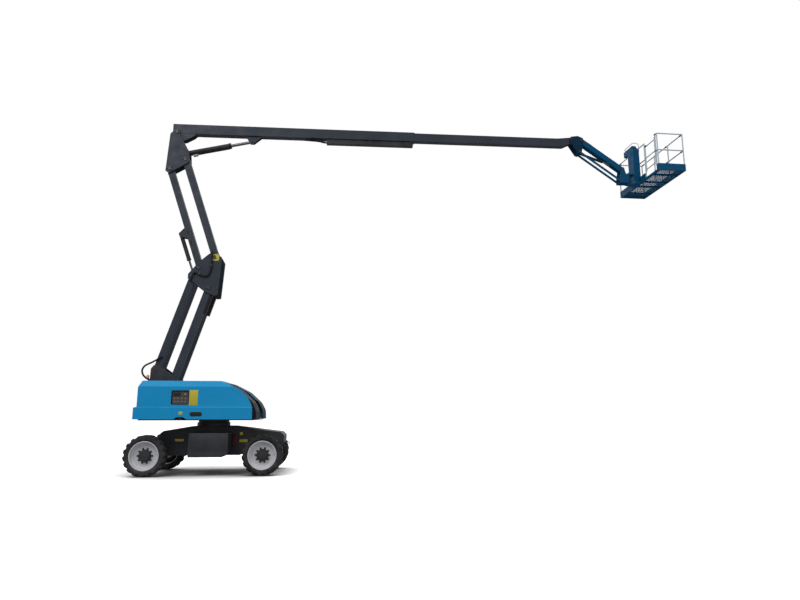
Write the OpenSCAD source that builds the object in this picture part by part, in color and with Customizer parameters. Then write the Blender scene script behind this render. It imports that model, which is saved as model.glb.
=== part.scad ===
// Articulating boom lift: wheeled chassis, slewing turntable, two-stage riser, telescopic boom, jib, platform

/* [Wheels] */
// Distance between the two axles
wheelbase = 2870; // [2600:10:3200]
// Diameter of a tyre over its lugs
tyre_d = 1015; // [940:5:1060]
// Width of a tyre
tyre_w = 355; // [300:5:380]
// Diameter of the rim at the tyre's bead
rim_d = 690; // [600:10:740]
// Width over the outer faces of the tyres
track_over = 2400; // [2340:10:2500]
// Distance of a steering pivot from the centre plane
kingpin_y = 690; // [660:5:710]

/* [Chassis] */
// Width of the chassis box
chassis_w = 900; // [760:10:960]
// Height of the slew bearing's seat above the ground
chassis_top = 1215; // [1180:5:1260]
// Height of the chassis floor above the ground
chassis_bottom = 470; // [420:5:520]
// Length of a side box
side_box_l = 970; // [700:10:1100]
// Reach of a side box from the centre plane
side_box_y = 1090; // [900:10:1150]

/* [Turntable] */
// Diameter of the slew bearing
slew_d = 860; // [760:10:900]
// Height of the slew bearing
slew_h = 155; // [120:5:180]
// Thickness of the deck plate
deck_t = 22; // [16:1:40]
// Clear width between the tower plates
tower_gap = 570; // [560:5:590]
// Thickness of a tower plate
tower_t = 35; // [20:1:40]
// Reach of the tail behind the slew axis
tail_x = 1776; // [1700:5:1850]
// Reach of the hood's nose in front of the slew axis
nose_x = 1250; // [1150:5:1350]
// Height of the hood above the deck
hood_h = 970; // [900:5:1050]
// Width over both hoods
hood_over = 2340; // [2200:10:2400]
// Clear width between the two hoods
hood_gap = 720; // [710:5:800]
// Thickness of a hood's wall
hood_wall = 14; // [8:1:25]

/* [Riser] */
// Length of the lower arm between its pins
lower_len = 2700; // [2500:10:2800]
// Slope of the lower arm as it stands
lower_angle = 73; // [70:0.5:76]
// Length of the upper arm between its pins
upper_len = 3100; // [2900:10:3200]
// Slope of the upper arm as it stands
upper_angle = 71; // [68:0.5:74]
// Depth of an arm in side view
arm_depth = 200; // [160:5:205]
// Depth of a link in side view
link_depth = 185; // [140:5:190]
// Width of the upper arm and link
upper_w = 200; // [160:5:210]
// Width of each side tube of the lower arm and link
lower_tube_w = 90; // [60:5:95]
// Diameter of the riser pins
riser_pin_d = 80; // [60:2:90]

/* [Boom] */
// Length of the main boom behind and in front of its pivot
boom_len = 7090; // [6700:10:7300]
// Depth of the main boom
boom_depth = 285; // [270:5:300]
// Width of the main boom
boom_w = 230; // [210:5:240]
// Wall of the boom tubes
boom_wall = 7; // [5:0.5:9]
// Slope of the boom as it stands
boom_angle = 0.8; // [0:0.1:3]
// Reach of the fly boom past the main boom
fly_reach = 4690; // [4600:10:4900]
// Length of the fly boom
fly_len = 5900; // [5800:10:6200]

/* [Jib and platform] */
// Length of the jib arm between its pins
jib_len = 1590; // [1400:10:1700]
// Slope of the jib below level as it stands
jib_drop = 35; // [30:0.5:40]
// Depth of the jib arm
jib_depth = 160; // [120:5:170]
// Length of the platform across the machine
platform_l = 2440; // [2400:10:2600]
// Width of the platform along the boom
platform_w = 850; // [780:10:950]
// Height of the guard rail above the floor
rail_h = 1120; // [1000:10:1200]
// Diameter of the rail tubes
rail_d = 38; // [30:1:48]
// Width of the gate
gate_w = 640; // [560:10:700]

/* [Fits] */
// Radial clearance of a pin in its bore
pin_gap = 1; // [0.5:0.1:2]
// Running clearance between moving faces
run_gap = 5; // [4:0.5:8]

/* [Hidden] */
$fn = 64;

function along(p, a, d) = p + d * [cos(a), sin(a)];
function turned(v, a) = [v[0] * cos(a) - v[1] * sin(a), v[0] * sin(a) + v[1] * cos(a)];
function unit(v) = v / norm(v);
function slope(v) = atan2(v[1], v[0]);
function left_of(v) = [-v[1], v[0]];
// Outline of a counter-clockwise polygon moved inwards by d
function inset(p, d) = [
    for (i = [0 : len(p) - 1])
        let (
            before = left_of(unit(p[i] - p[(i + len(p) - 1) % len(p)])),
            after = left_of(unit(p[(i + 1) % len(p)] - p[i]))
        )
        p[i] + d * (before + after) / (1 + before * after)
];

// Wheels
axle_x = wheelbase / 2;
tyre_r = tyre_d / 2;
wheel_y = (track_over - tyre_w) / 2;
bead_r = rim_d / 2;

// Turntable heights
deck_z = chassis_top + slew_h;
deck_top = deck_z + deck_t;
hood_z0 = deck_top + run_gap;
hood_z1 = hood_z0 + hood_h;
tower_y = tower_gap / 2;
hood_y0 = hood_gap / 2;
hood_y1 = hood_over / 2;

// Riser pins, each as [x, z]
lower_arm_base = [-1083, deck_z + 1001];
link_offset = [-450, 310];
lower_arm_top = along(lower_arm_base, lower_angle, lower_len);
lower_link_base = lower_arm_base + link_offset;
lower_link_top = lower_arm_top + link_offset;
upper_slope = 180 - upper_angle;
upper_link_base = lower_arm_top + [-296, 557];
upper_arm_base = upper_link_base + [415, 305];
upper_link_top = along(upper_link_base, upper_slope, upper_len);
upper_arm_top = along(upper_arm_base, upper_slope, upper_len);
boom_pivot = upper_link_top + [130, 1140];

// Layers across the machine, from the centre plane outwards
upper_y = upper_w / 2;
upright_y0 = boom_w / 2 + 10;
upright_t = 25;
lower_y0 = upright_y0 + upright_t + 25;
lower_y1 = lower_y0 + lower_tube_w;
plate_y0 = tower_y;
plate_t = 25;

// Riser cylinder: its barrel is pinned below the upper link, its rod ends at the lower link's top pin
riser_lug = along(upper_link_base, upper_slope, 1150) + 238 * left_of([cos(upper_slope), sin(upper_slope)]);
riser_eye = lower_link_top;
riser_cyl_slope = slope(riser_eye - riser_lug);
riser_cyl_len = norm(riser_eye - riser_lug);
riser_stroke = 470;

// Boom and its lift cylinder
boom_back = 130;
boom_low = -20;
boom_head = along(boom_pivot, boom_angle, boom_len - boom_back);
boom_mid = boom_low + boom_depth / 2;
fly_gap = 8;
fly_w = boom_w - 2 * boom_wall - 2 * fly_gap;
fly_depth = boom_depth - 2 * boom_wall - 2 * fly_gap;
fly_end_x = boom_len - boom_back + fly_reach;
lift_base = boom_pivot + [290, -600];
lift_eye_x = 2129;
lift_eye_drop = 170;
lift_eye = boom_pivot + turned([lift_eye_x, -lift_eye_drop], boom_angle);
lift_slope = slope(lift_eye - lift_base);
lift_len = norm(lift_eye - lift_base);
lift_stroke = 760;

// Jib pins, and the platform's place
jib_head = boom_pivot + turned([fly_end_x + 270, boom_mid + fly_depth / 2 - 16], boom_angle);
jib_arm_base = jib_head + [306, -16];
jib_link_base = jib_head + [246, -406];
jib_arm_end = along(jib_arm_base, -jib_drop, jib_len);
jib_link_end = along(jib_link_base, -jib_drop, jib_len);
jib_lug = jib_link_base;
jib_eye_x = 1200;
jib_eye_drop = 60;
jib_eye = jib_arm_base + turned([jib_eye_x, -jib_eye_drop], -jib_drop);
jib_cyl_slope = slope(jib_eye - jib_lug);
jib_cyl_len = norm(jib_eye - jib_lug);
jib_stroke = 700;
jib_plate_y = 120;
jib_plate_t = 16;
rotator_x = jib_arm_end[0] + 200;
floor_z = jib_arm_end[1] - 380;
platform_x0 = rotator_x + 355;
platform_x1 = platform_x0 + platform_w;

// The model's own origin is under the middle of its whole length
frame_x = (platform_x1 - axle_x - tyre_r) / 2;

module placed() {
    translate([-frame_x, 0, 0])
        children();
}

module both_sides() {
    children();
    mirror([0, 1, 0])
        children();
}

// Plate cut to an outline in side view, from y0 outwards by t
module side_plate(outline, y0, t) {
    translate([0, y0 + t, 0])
        rotate([90, 0, 0])
            linear_extrude(t)
                polygon(outline);
}

// Round bar or bore across the machine
module cross_bar(p, d, y0, y1) {
    translate([p[0], y1, p[1]])
        rotate([90, 0, 0])
            cylinder(d = d, h = y1 - y0);
}

// Things drawn along +X from a pin, turned to a slope in side view
module at_pin(p, a) {
    translate([p[0], 0, p[1]])
        rotate([0, -a, 0])
            children();
}

// Box from x0 to x1 with its depth centred on the line of the pins
module bar(x0, x1, depth, y0, y1) {
    translate([x0, y0, -depth / 2])
        cube([x1 - x0, y1 - y0, depth]);
}

// Arm with round ends and a bore at each pin
module arm(len, depth, y0, y1, pin_d) {
    difference() {
        union() {
            bar(0, len, depth, y0, y1);
            for (x = [0, len])
                cross_bar([x, 0], depth, y0, y1);
        }
        for (x = [0, len])
            cross_bar([x, 0], pin_d + 2 * pin_gap, y0 - 1, y1 + 1);
    }
}

// Round bar along +X
module rod_x(d, x0, x1) {
    translate([x0, 0, 0])
        rotate([0, 90, 0])
            cylinder(d = d, h = x1 - x0);
}

// Eye of a cylinder's end, bored for its pin
module eye(x, d, bore, width) {
    difference() {
        cross_bar([x, 0], d, -width / 2, width / 2);
        cross_bar([x, 0], bore, -width / 2 - 1, width / 2 + 1);
    }
}

// Barrel from its base eye to its gland, open for the rod
module barrel(d, rod_d, len, pin_d, width) {
    eye(0, d * 0.95, pin_d + 2 * pin_gap, width);
    difference() {
        union() {
            rod_x(d, d * 0.45, len);
            rod_x(d * 1.08, len - d * 0.5, len);
        }
        rod_x(rod_d + 2 * pin_gap, d, len + 1);
        cross_bar([0, 0], pin_d + 2 * pin_gap, -d, d);
    }
}

// Rod from inside its barrel to its eye, which turns on its own short pin
module piston_rod(d, x0, len, eye_d, width) {
    rod_x(d, x0, len - eye_d * 0.3);
    cross_bar([len, 0], eye_d, -width / 2, width / 2);
}

// Chassis

chassis_y = chassis_w / 2;
axle_box = 190;
beam_d = 150;
kingpin_d = 60;
fork_gap = 150;
fork_t = 40;
chassis_side = [
    [-axle_x + 440, chassis_bottom],
    [axle_x - 660, chassis_bottom],
    [axle_x - 300, tyre_r + axle_box / 2],
    [axle_x + 330, tyre_r + axle_box / 2],
    [axle_x + 480, tyre_r + 250],
    [axle_x + 480, chassis_top - 240],
    [axle_x + 400, chassis_top - 160],
    [560, chassis_top],
    [-slew_d / 2 - 40, chassis_top],
    [-axle_x + 250, chassis_top - 120],
    [-axle_x + 170, chassis_top - 180],
    [-axle_x + 170, tyre_r + 60],
    [-axle_x + 300, tyre_r - 20]
];
lug_hole_d = 60;
lug_t = 30;
lug_x = axle_x + 400;
lug_z = tyre_r + 230;

module chassis_frame() {
    color("#171b21")
        placed() {
            side_plate(chassis_side, -chassis_y, chassis_w);
            both_sides()
                difference() {
                    side_plate([
                        [lug_x, lug_z - 70], [lug_x + 110, lug_z - 70], [lug_x + 190, lug_z],
                        [lug_x + 110, lug_z + 70], [lug_x, lug_z + 70]
                    ], chassis_y - 120, lug_t);
                    cross_bar([lug_x + 120, lug_z], lug_hole_d, chassis_y - 200, chassis_y);
                }
        }
}

module slew_bearing() {
    color("#2a2e33")
        placed()
            translate([0, 0, chassis_top])
                difference() {
                    union() {
                        cylinder(d = slew_d, h = slew_h * 0.55);
                        cylinder(d = slew_d * 0.93, h = slew_h - 0.3);
                    }
                    translate([0, 0, -1])
                        cylinder(d = slew_d * 0.6, h = slew_h + 2);
                }
}

side_box_z0 = chassis_bottom - 10;
side_box_h = 590;
side_box_cut = 130;

module side_boxes() {
    color("#1b2026")
        placed()
            both_sides()
                side_plate([
                    [-side_box_l * 0.42, side_box_z0],
                    [side_box_l * 0.58 - side_box_cut, side_box_z0],
                    [side_box_l * 0.58, side_box_z0 + side_box_cut],
                    [side_box_l * 0.58, side_box_z0 + side_box_h],
                    [-side_box_l * 0.42, side_box_z0 + side_box_h]
                ], chassis_y, side_box_y - chassis_y);
}

hub_d = 260;
hub_face = wheel_y - tyre_w / 2 + 120;

module fixed_axle() {
    color("#22262b")
        placed()
            translate([axle_x, 0, tyre_r]) {
                translate([-axle_box / 2, -chassis_y - 60, -axle_box / 2])
                    cube([axle_box, chassis_w + 120, axle_box]);
                rotate([90, 0, 0])
                    cylinder(d = beam_d, h = 2 * hub_face, center = true);
                both_sides()
                    cross_bar([0, 0], hub_d, hub_face - 150, hub_face);
            }
}

// The beam ends in forks that hold the steering knuckles on their kingpins
module steer_axle() {
    color("#22262b")
        placed()
            translate([-axle_x, 0, tyre_r]) {
                translate([-axle_box / 2, -kingpin_y + 90, -axle_box / 2])
                    cube([axle_box, 2 * kingpin_y - 180, axle_box]);
                rod_x(180, axle_box / 2, 170);
                both_sides()
                    for (z = [-fork_gap / 2 - fork_t, fork_gap / 2])
                        translate([0, kingpin_y, z]) {
                            cylinder(d = 130, h = fork_t);
                            translate([-65, -130, 0])
                                cube([130, 130, fork_t]);
                        }
                both_sides()
                    translate([0, kingpin_y, -fork_gap / 2 - fork_t])
                        cylinder(d = kingpin_d, h = fork_gap + 2 * fork_t);
            }
}

module steer_knuckle() {
    translate([-axle_x, 0, tyre_r])
        difference() {
            union() {
                translate([0, kingpin_y, -fork_gap / 2 + run_gap])
                    cylinder(d = 120, h = fork_gap - 2 * run_gap);
                cross_bar([0, 0], 110, kingpin_y, hub_face);
                cross_bar([0, 0], hub_d, kingpin_y + 90, hub_face);
            }
            translate([0, kingpin_y, -fork_gap])
                cylinder(d = kingpin_d + 2 * pin_gap, h = 2 * fork_gap);
        }
}

module steer_knuckle_far() {
    color("#22262b")
        placed()
            steer_knuckle();
}

module steer_knuckle_near() {
    color("#22262b")
        placed()
            mirror([0, 1, 0])
                steer_knuckle();
}

// Section of a tyre as [radius, distance along the axle from its middle]
tyre_wall = tyre_w / 2;
tyre_section = [
    [bead_r, -tyre_wall * 0.78],
    [bead_r + 40, -tyre_wall * 0.96],
    [tyre_r - 110, -tyre_wall],
    [tyre_r - 40, -tyre_wall * 0.98],
    [tyre_r, -tyre_wall * 0.88],
    [tyre_r, tyre_wall * 0.88],
    [tyre_r - 40, tyre_wall * 0.98],
    [tyre_r - 110, tyre_wall],
    [bead_r + 40, tyre_wall * 0.96],
    [bead_r, tyre_wall * 0.78]
];

// A wheel's place: end is 1 at the fixed axle and -1 at the steered one, side is 1 on the far side
module at_wheel(end, side) {
    placed()
        translate([end * axle_x, side * wheel_y, tyre_r])
            rotate([-90 * side, 0, 0])
                children();
}

module tyre(end, side) {
    color("#16171a")
        at_wheel(end, side)
            rotate_extrude($fn = 96)
                polygon(tyre_section);
}

// Dished rim: its outside is turned to +Z, and its hub is bolted to the axle's hub face
rim_wall = 14;
disc_z = hub_face - wheel_y;
rim_section = [
    [0, disc_z + 0.3],
    [bead_r - rim_wall - 60, disc_z + 0.3],
    [bead_r - rim_wall, -10],
    [bead_r - rim_wall, -tyre_wall * 0.76],
    [bead_r, -tyre_wall * 0.78],
    [bead_r, tyre_wall * 0.78],
    [bead_r - rim_wall, tyre_wall * 0.8],
    [bead_r - rim_wall - 10, 60],
    [bead_r - 90, 30],
    [hub_d * 0.58, 20],
    [hub_d * 0.55, 110],
    [hub_d * 0.4, 130],
    [0, 130]
];

module rim(end, side) {
    color("#a8aaad")
        at_wheel(end, side)
            rotate_extrude($fn = 96)
                polygon(rim_section);
}

// Turntable

tail_cut = 72;
skirt_h = 290;
tower_side = [
    [-tail_x + 60, deck_top],
    [nose_x - 200, deck_top],
    [nose_x - 250, deck_top + 170],
    [-600, deck_top + 210],
    lower_arm_base + [60, -480],
    lower_arm_base + [150, -80],
    lower_arm_base + [130, 70],
    lower_arm_base + [40, 130],
    lower_link_base + [60, 130],
    lower_link_base + [-60, 130],
    lower_link_base + [-130, 40],
    [-tail_x + 90, deck_top + 700]
];

// Hood hinges: rods along the inner panels, which stand on the deck beside the tower plates
hinge_rod_d = 12;
hinge_leaf_d = 26;
panel_t = 12;
panel_y = tower_y + tower_t;
hinge_y = panel_y + 22;
hinge_z = hood_z1 - hood_wall / 2;
hinge_leaves = [-1300, -500, 130];
hinge_leaf_l = 100;
panel_x0 = -tail_x + 200;
panel_x1 = nose_x - 920;

module hood_carrier() {
    translate([panel_x0, panel_y, deck_top])
        cube([panel_x1 - panel_x0, panel_t, hinge_z - 40 - deck_top]);
    for (x = hinge_leaves, side = [-1, 1])
        translate([x - 20 + side * (hinge_leaf_l / 2 + run_gap + 20), panel_y, hinge_z - 60])
            cube([40, hinge_y + hinge_rod_d / 2 - panel_y, 60]);
    for (x = hinge_leaves)
        translate([0, hinge_y, hinge_z])
            rod_x(hinge_rod_d, x - hinge_leaf_l / 2 - run_gap - 40, x + hinge_leaf_l / 2 + run_gap + 40);
}

module turntable_frame() {
    color("#1d2229")
        placed() {
            both_sides()
                hood_carrier();
            translate([-tail_x + 110, -hood_y1 + 60, deck_z])
                cube([tail_x + nose_x - 180, hood_over - 120, deck_t]);
            both_sides()
                side_plate(tower_side, tower_y, tower_t);
            both_sides() {
                cross_bar(lower_arm_base, riser_pin_d, stub_y1, tower_y + tower_t + pin_head);
                cross_bar(lower_link_base, riser_pin_d, lower_y0 - run_gap, tower_y + tower_t + pin_head);
            }
            translate([beacon_p[0] - 45, -tower_y - tower_t, beacon_p[1] - 10])
                cube([150, tower_t, 10]);
        }
}

weight_inset = 45;

// Cast block across the tail, with a shoulder up inside each hood
module counterweight() {
    color("#23282e")
        placed() {
            translate([-tail_x + 115, -tower_y, deck_top])
                cube([560, tower_gap, 130]);
            both_sides()
                translate([-tail_x + 115, panel_y + panel_t, deck_top])
                    cube([640, hood_y1 - weight_inset - 30 - panel_y - panel_t, hood_h * 0.68]);
        }
}

pack_l = 900;

module battery_packs() {
    color("#3a3f45")
        placed()
            both_sides()
                translate([-280, hood_y0 + 10, deck_top])
                    cube([pack_l, hood_y1 - hood_y0 - 120, 560]);
}

window_x = -874;
window_w = 426;
window_z = hood_z0 + 370;
window_h = 347;

// Panel box behind the window in the near hood, on a foot that stands on the deck
module ground_control() {
    color("#2c3036")
        placed()
            translate([window_x + 12, -hood_y1 + 60, 0]) {
                translate([0, 0, window_z + 12])
                    cube([window_w - 24, 130, window_h - 24]);
                translate([window_w / 2 - 60, 20, deck_top])
                    cube([96, 90, window_z + 12 - deck_top]);
            }
}

beacon_p = lower_link_base + [-198, -235];

module beacon() {
    color("#c8761a")
        placed()
            translate([beacon_p[0], -tower_y - tower_t / 2, beacon_p[1]]) {
                cylinder(d = 78, h = 26);
                translate([0, 0, 26])
                    cylinder(d1 = 70, d2 = 62, h = 74);
                translate([0, 0, 100])
                    cylinder(d1 = 62, d2 = 36, h = 14);
            }
}

hood_bevel_z = 150;
hood_bevel_y = 150;
hood_side = [
    [-tail_x, hood_z0],
    [nose_x, hood_z0],
    [nose_x - 12, hood_z0 + 235],
    [nose_x - 120, hood_z0 + 445],
    [nose_x - 433, hood_z1 - 238],
    [nose_x - 894, hood_z1],
    [-tail_x + 132, hood_z1],
    [-tail_x + tail_cut, hood_z1 - 175],
    [-tail_x + tail_cut, hood_z0 + skirt_h + 22],
    [-tail_x, hood_z0 + skirt_h]
];
hood_section = [
    [hood_y0, hood_z0],
    [hood_y1, hood_z0],
    [hood_y1, hood_z0 + skirt_h],
    [hood_y1 - 30, hood_z0 + skirt_h + 22],
    [hood_y1 - 30, hood_z1 - hood_bevel_z],
    [hood_y1 - 30 - hood_bevel_y, hood_z1 + 1],
    [hood_y0, hood_z1 + 1]
];
hood_inner = [
    [hood_y0 - 50, hood_z0 - 60],
    [hood_y1 - hood_wall, hood_z0 - 60],
    [hood_y1 - hood_wall, hood_z0 + skirt_h - hood_wall * 0.4],
    [hood_y1 - 30 - hood_wall, hood_z0 + skirt_h + 16],
    [hood_y1 - 30 - hood_wall, hood_z1 - hood_bevel_z - hood_wall * 0.4],
    [hood_y1 - 30 - hood_bevel_y - hood_wall * 0.4, hood_z1 - hood_wall],
    [hood_y0 - 50, hood_z1 - hood_wall]
];

// A section in the plane across the machine, drawn out along it
module long_section(outline, x0, x1) {
    translate([x0, 0, 0])
        rotate([90, 0, 90])
            linear_extrude(x1 - x0)
                polygon(outline);
}

module hood_shell() {
    for (x = hinge_leaves)
        difference() {
            union() {
                translate([0, hinge_y, hinge_z])
                    rod_x(hinge_leaf_d, x - hinge_leaf_l / 2, x + hinge_leaf_l / 2);
                translate([x - hinge_leaf_l / 2, hinge_y, hinge_z - hood_wall / 2])
                    cube([hinge_leaf_l, hood_y0 + 5 - hinge_y, hood_wall]);
            }
            translate([0, hinge_y, hinge_z])
                rod_x(hinge_rod_d + 2 * pin_gap, x - hinge_leaf_l, x + hinge_leaf_l);
        }
    difference() {
        intersection() {
            side_plate(hood_side, hood_y0, hood_y1 - hood_y0);
            long_section(hood_section, -tail_x - 10, nose_x + 10);
        }
        intersection() {
            for (dz = [0, -30])
                translate([0, 0, dz])
                    side_plate(inset(hood_side, hood_wall), hood_y0 - 40, hood_y1 - hood_y0 + 40);
            long_section(hood_inner, -tail_x - 10, nose_x + 10);
        }
        translate([-634, hood_y1 + 20, hood_z0 - 183])
            rotate([90, 0, 0])
                cylinder(d = 486, h = 90);
    }
}

module hood_far() {
    color("#0073b2")
        placed()
            hood_shell();
}

module hood_near() {
    color("#0073b2")
        placed()
            difference() {
                mirror([0, 1, 0])
                    hood_shell();
                translate([window_x, -hood_y1 - 10, window_z])
                    cube([window_w, 100, window_h]);
            }
}

// Riser

boom_grey = "#3c424c";
pin_head = 10;
stub_y0 = 55;
stub_y1 = 100;
rest_block_t = 70;

module lower_arm() {
    color(boom_grey)
        placed()
            at_pin(lower_arm_base, lower_angle) {
                both_sides()
                    arm(lower_len, arm_depth, lower_y0, lower_y1, riser_pin_d);
                difference() {
                    union() {
                        cross_bar([lower_len, 0], riser_pin_d + 60, -lower_y0 - 2, lower_y0 + 2);
                        both_sides()
                            cross_bar([0, 0], riser_pin_d + 60, stub_y1, lower_y0 + 2);
                    }
                    for (x = [0, lower_len])
                        cross_bar([x, 0], riser_pin_d + 2 * pin_gap, -lower_y1, lower_y1);
                }
                both_sides()
                    translate([0, 0, -arm_depth / 2 - rest_block_t / 2])
                        bar(lower_len - 700, lower_len - 140, rest_block_t, lower_y0, lower_y1);
            }
}

module lower_link() {
    color(boom_grey)
        placed()
            at_pin(lower_link_base, lower_angle)
                both_sides()
                    arm(lower_len, link_depth, lower_y0, lower_y1, riser_pin_d);
}

knuckle_side = [
    lower_arm_top + [-90, -110],
    lower_arm_top + [140, -215],
    lower_arm_top + [243, -200],
    upper_arm_base + [190, -30],
    upper_arm_base + [60, 190],
    upper_arm_base + [-150, 110],
    upper_link_base + [-10, 165],
    lower_link_top + [-125, 70],
    lower_link_top + [-125, -60],
    lower_link_top + [-30, -120]
];

module riser_knuckle() {
    color(boom_grey)
        placed() {
            both_sides()
                side_plate(knuckle_side, plate_y0, plate_t);
            for (p = [lower_arm_top, upper_link_base, upper_arm_base])
                cross_bar(p, riser_pin_d, -plate_y0 - plate_t, plate_y0 + plate_t);
            both_sides()
                cross_bar(lower_link_top, riser_pin_d, stub_y0, plate_y0 + plate_t);
            both_sides()
                for (p = [upper_link_base, upper_arm_base])
                    cross_bar(p, riser_pin_d + 40, upper_y + run_gap, plate_y0 + 1);
        }
}

module upper_arm() {
    color(boom_grey)
        placed()
            at_pin(upper_arm_base, upper_slope)
                arm(upper_len, arm_depth, -upper_y, upper_y, riser_pin_d);
}

riser_bore = 112;
riser_rod_d = 62;
riser_eye_w = 80;
riser_cyl_pin = 50;
riser_gland = riser_cyl_len - riser_stroke - 90;
lug_y0 = riser_bore / 2 + run_gap;
cyl_lug_t = 20;

module upper_link() {
    color(boom_grey)
        placed() {
            at_pin(upper_link_base, upper_slope)
                arm(upper_len, link_depth, -upper_y, upper_y, riser_pin_d);
            both_sides()
                translate([riser_lug[0], 0, riser_lug[1]])
                    rotate([0, -upper_slope, 0])
                        side_plate([
                            [-160, link_depth / 2 - 240], [160, link_depth / 2 - 240], [50, 50], [-50, 50]
                        ], lug_y0, cyl_lug_t);
            cross_bar(riser_lug, riser_cyl_pin, -lug_y0 - cyl_lug_t, lug_y0 + cyl_lug_t);
        }
}

upright_side = [
    upper_link_top + [-125, -60],
    upper_link_top + [-30, -120],
    upper_arm_top + [40, -115],
    upper_arm_top + [115, -20],
    lift_base + [80, 30],
    lift_base + [20, 110],
    boom_pivot + [95, -90],
    boom_pivot + [70, 70],
    boom_pivot + [-60, 85],
    boom_pivot + [-190, -60]
];
lift_pin_d = 70;

module boom_upright() {
    color(boom_grey)
        placed() {
            both_sides()
                side_plate(upright_side, upright_y0, upright_t);
            for (p = [upper_link_top, upper_arm_top, boom_pivot])
                cross_bar(p, riser_pin_d, -upright_y0 - upright_t, upright_y0 + upright_t);
            cross_bar(lift_base, lift_pin_d, -upright_y0 - upright_t, upright_y0 + upright_t);
            both_sides()
                cross_bar(lift_base, lift_pin_d + 50, lift_eye_w / 2 + run_gap, upright_y0 + 1);
        }
}

module riser_barrel() {
    color("#2a2e33")
        placed()
            at_pin(riser_lug, riser_cyl_slope)
                barrel(riser_bore, riser_rod_d, riser_gland, riser_cyl_pin, riser_eye_w);
}

module riser_rod() {
    color("#c9ccd0")
        placed()
            at_pin(riser_lug, riser_cyl_slope)
                piston_rod(riser_rod_d, riser_gland - 160, riser_cyl_len, 96, riser_eye_w);
}

// Boom, drawn along +X from its pivot

belly = [[-115, boom_low + 2], [-60, -90], [150, -239], [230, -232], [455, -100], [540, boom_low + 2]];
belly_y0 = boom_w / 2 - 28;
belly_t = 20;
lift_lug = [
    [lift_eye_x - 180, boom_low + 2], [lift_eye_x - 55, -lift_eye_drop - 55],
    [lift_eye_x + 55, -lift_eye_drop - 55], [lift_eye_x + 290, boom_low + 2]
];
lift_eye_w = 90;
pad_l = 150;
pad_gap = 0.3;
boom_front = boom_len - boom_back;

// Square tube from x0 to x1 about the boom's middle line
module boom_box(x0, x1, w, depth) {
    translate([x0, -w / 2, boom_mid - depth / 2])
        cube([x1 - x0, w, depth]);
}

module main_boom() {
    inner_w = boom_w - 2 * boom_wall;
    inner_d = boom_depth - 2 * boom_wall;
    color(boom_grey)
        placed()
            at_pin(boom_pivot, boom_angle)
                difference() {
                    union() {
                        difference() {
                            boom_box(-boom_back, boom_front, boom_w, boom_depth);
                            boom_box(-boom_back + 12, boom_front - pad_l, inner_w, inner_d);
                            boom_box(0, boom_front + 1, fly_w + 2 * pad_gap, fly_depth + 2 * pad_gap);
                        }
                        both_sides() {
                            side_plate(belly, belly_y0, belly_t);
                            side_plate(lift_lug, lift_eye_w / 2 + run_gap, cyl_lug_t);
                            cross_bar([0, 0], riser_pin_d + 60, boom_w / 2 - 45, boom_w / 2);
                            cross_bar([lift_eye_x, -lift_eye_drop], lift_pin_d, lift_eye_w / 2 + 2, lift_eye_w / 2 + 40);
                        }
                    }
                    cross_bar([0, 0], riser_pin_d + 2 * pin_gap, -boom_w, boom_w);
                }
}

tray_x0 = boom_front - 2650;
tray_x1 = boom_front - 50;
tray_h = 145;
tray_w = 150;

module hose_tray() {
    color("#1a1c1f")
        placed()
            at_pin(boom_pivot, boom_angle)
                translate([0, 0, boom_low - tray_h / 2])
                    difference() {
                        bar(tray_x0, tray_x1, tray_h, -tray_w / 2, tray_w / 2);
                        translate([0, 0, 12])
                            bar(tray_x0 - 1, tray_x1 + 1, tray_h - 36, -tray_w / 2 + 8, tray_w / 2 - 8);
                    }
}

nose_t = 20;
nose = [
    [fly_end_x - 180, boom_mid - fly_depth / 2],
    [fly_end_x, boom_mid - fly_depth / 2],
    [fly_end_x + 320, boom_mid + 20],
    [fly_end_x + 345, boom_mid + fly_depth / 2 - 10],
    [fly_end_x + 300, boom_mid + fly_depth / 2 + 45],
    [fly_end_x + 190, boom_mid + fly_depth / 2 + 40],
    [fly_end_x - 180, boom_mid + fly_depth / 2]
];
head_pin_d = 60;

module fly_boom() {
    color(boom_grey)
        placed() {
            at_pin(boom_pivot, boom_angle) {
                difference() {
                    union() {
                        boom_box(fly_end_x - fly_len, fly_end_x, fly_w, fly_depth);
                        boom_box(fly_end_x - fly_len, fly_end_x - fly_len + pad_l,
                            fly_w + 2 * fly_gap - 2 * pad_gap, fly_depth + 2 * fly_gap - 2 * pad_gap);
                    }
                    boom_box(fly_end_x - fly_len - 1, fly_end_x - 12,
                        fly_w - 2 * boom_wall, fly_depth - 2 * boom_wall);
                }
                both_sides()
                    side_plate(nose, fly_w / 2 - nose_t, nose_t);
            }
            cross_bar(jib_head, head_pin_d, -jib_plate_y - jib_plate_t - pin_head, jib_plate_y + jib_plate_t + pin_head);
        }
}

lift_bore = 155;
lift_rod_d = 85;
lift_gland = 1280;

module boom_barrel() {
    color(boom_grey)
        placed()
            at_pin(lift_base, lift_slope)
                barrel(lift_bore, lift_rod_d, lift_gland, lift_pin_d, lift_eye_w);
}

module boom_rod() {
    color("#c9ccd0")
        placed()
            at_pin(lift_base, lift_slope)
                piston_rod(lift_rod_d, lift_gland - lift_stroke - 60, lift_len, 110, lift_eye_w);
}

// Jib and platform

platform_blue = "#0c466e";
jib_pin_d = 50;
jib_tube_y0 = 48;
jib_arm_y = 95;
link_bar_y0 = jib_arm_y + 4;
link_bar_t = 16;
link_bar_h = 60;
jib_bracket_side = [
    jib_head + [-75, -60],
    jib_link_base + [-70, -50],
    jib_link_base + [20, -65],
    jib_link_base + [65, 0],
    jib_arm_base + [75, -30],
    jib_arm_base + [60, 60],
    jib_head + [200, 112],
    jib_head + [-30, 75]
];

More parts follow.
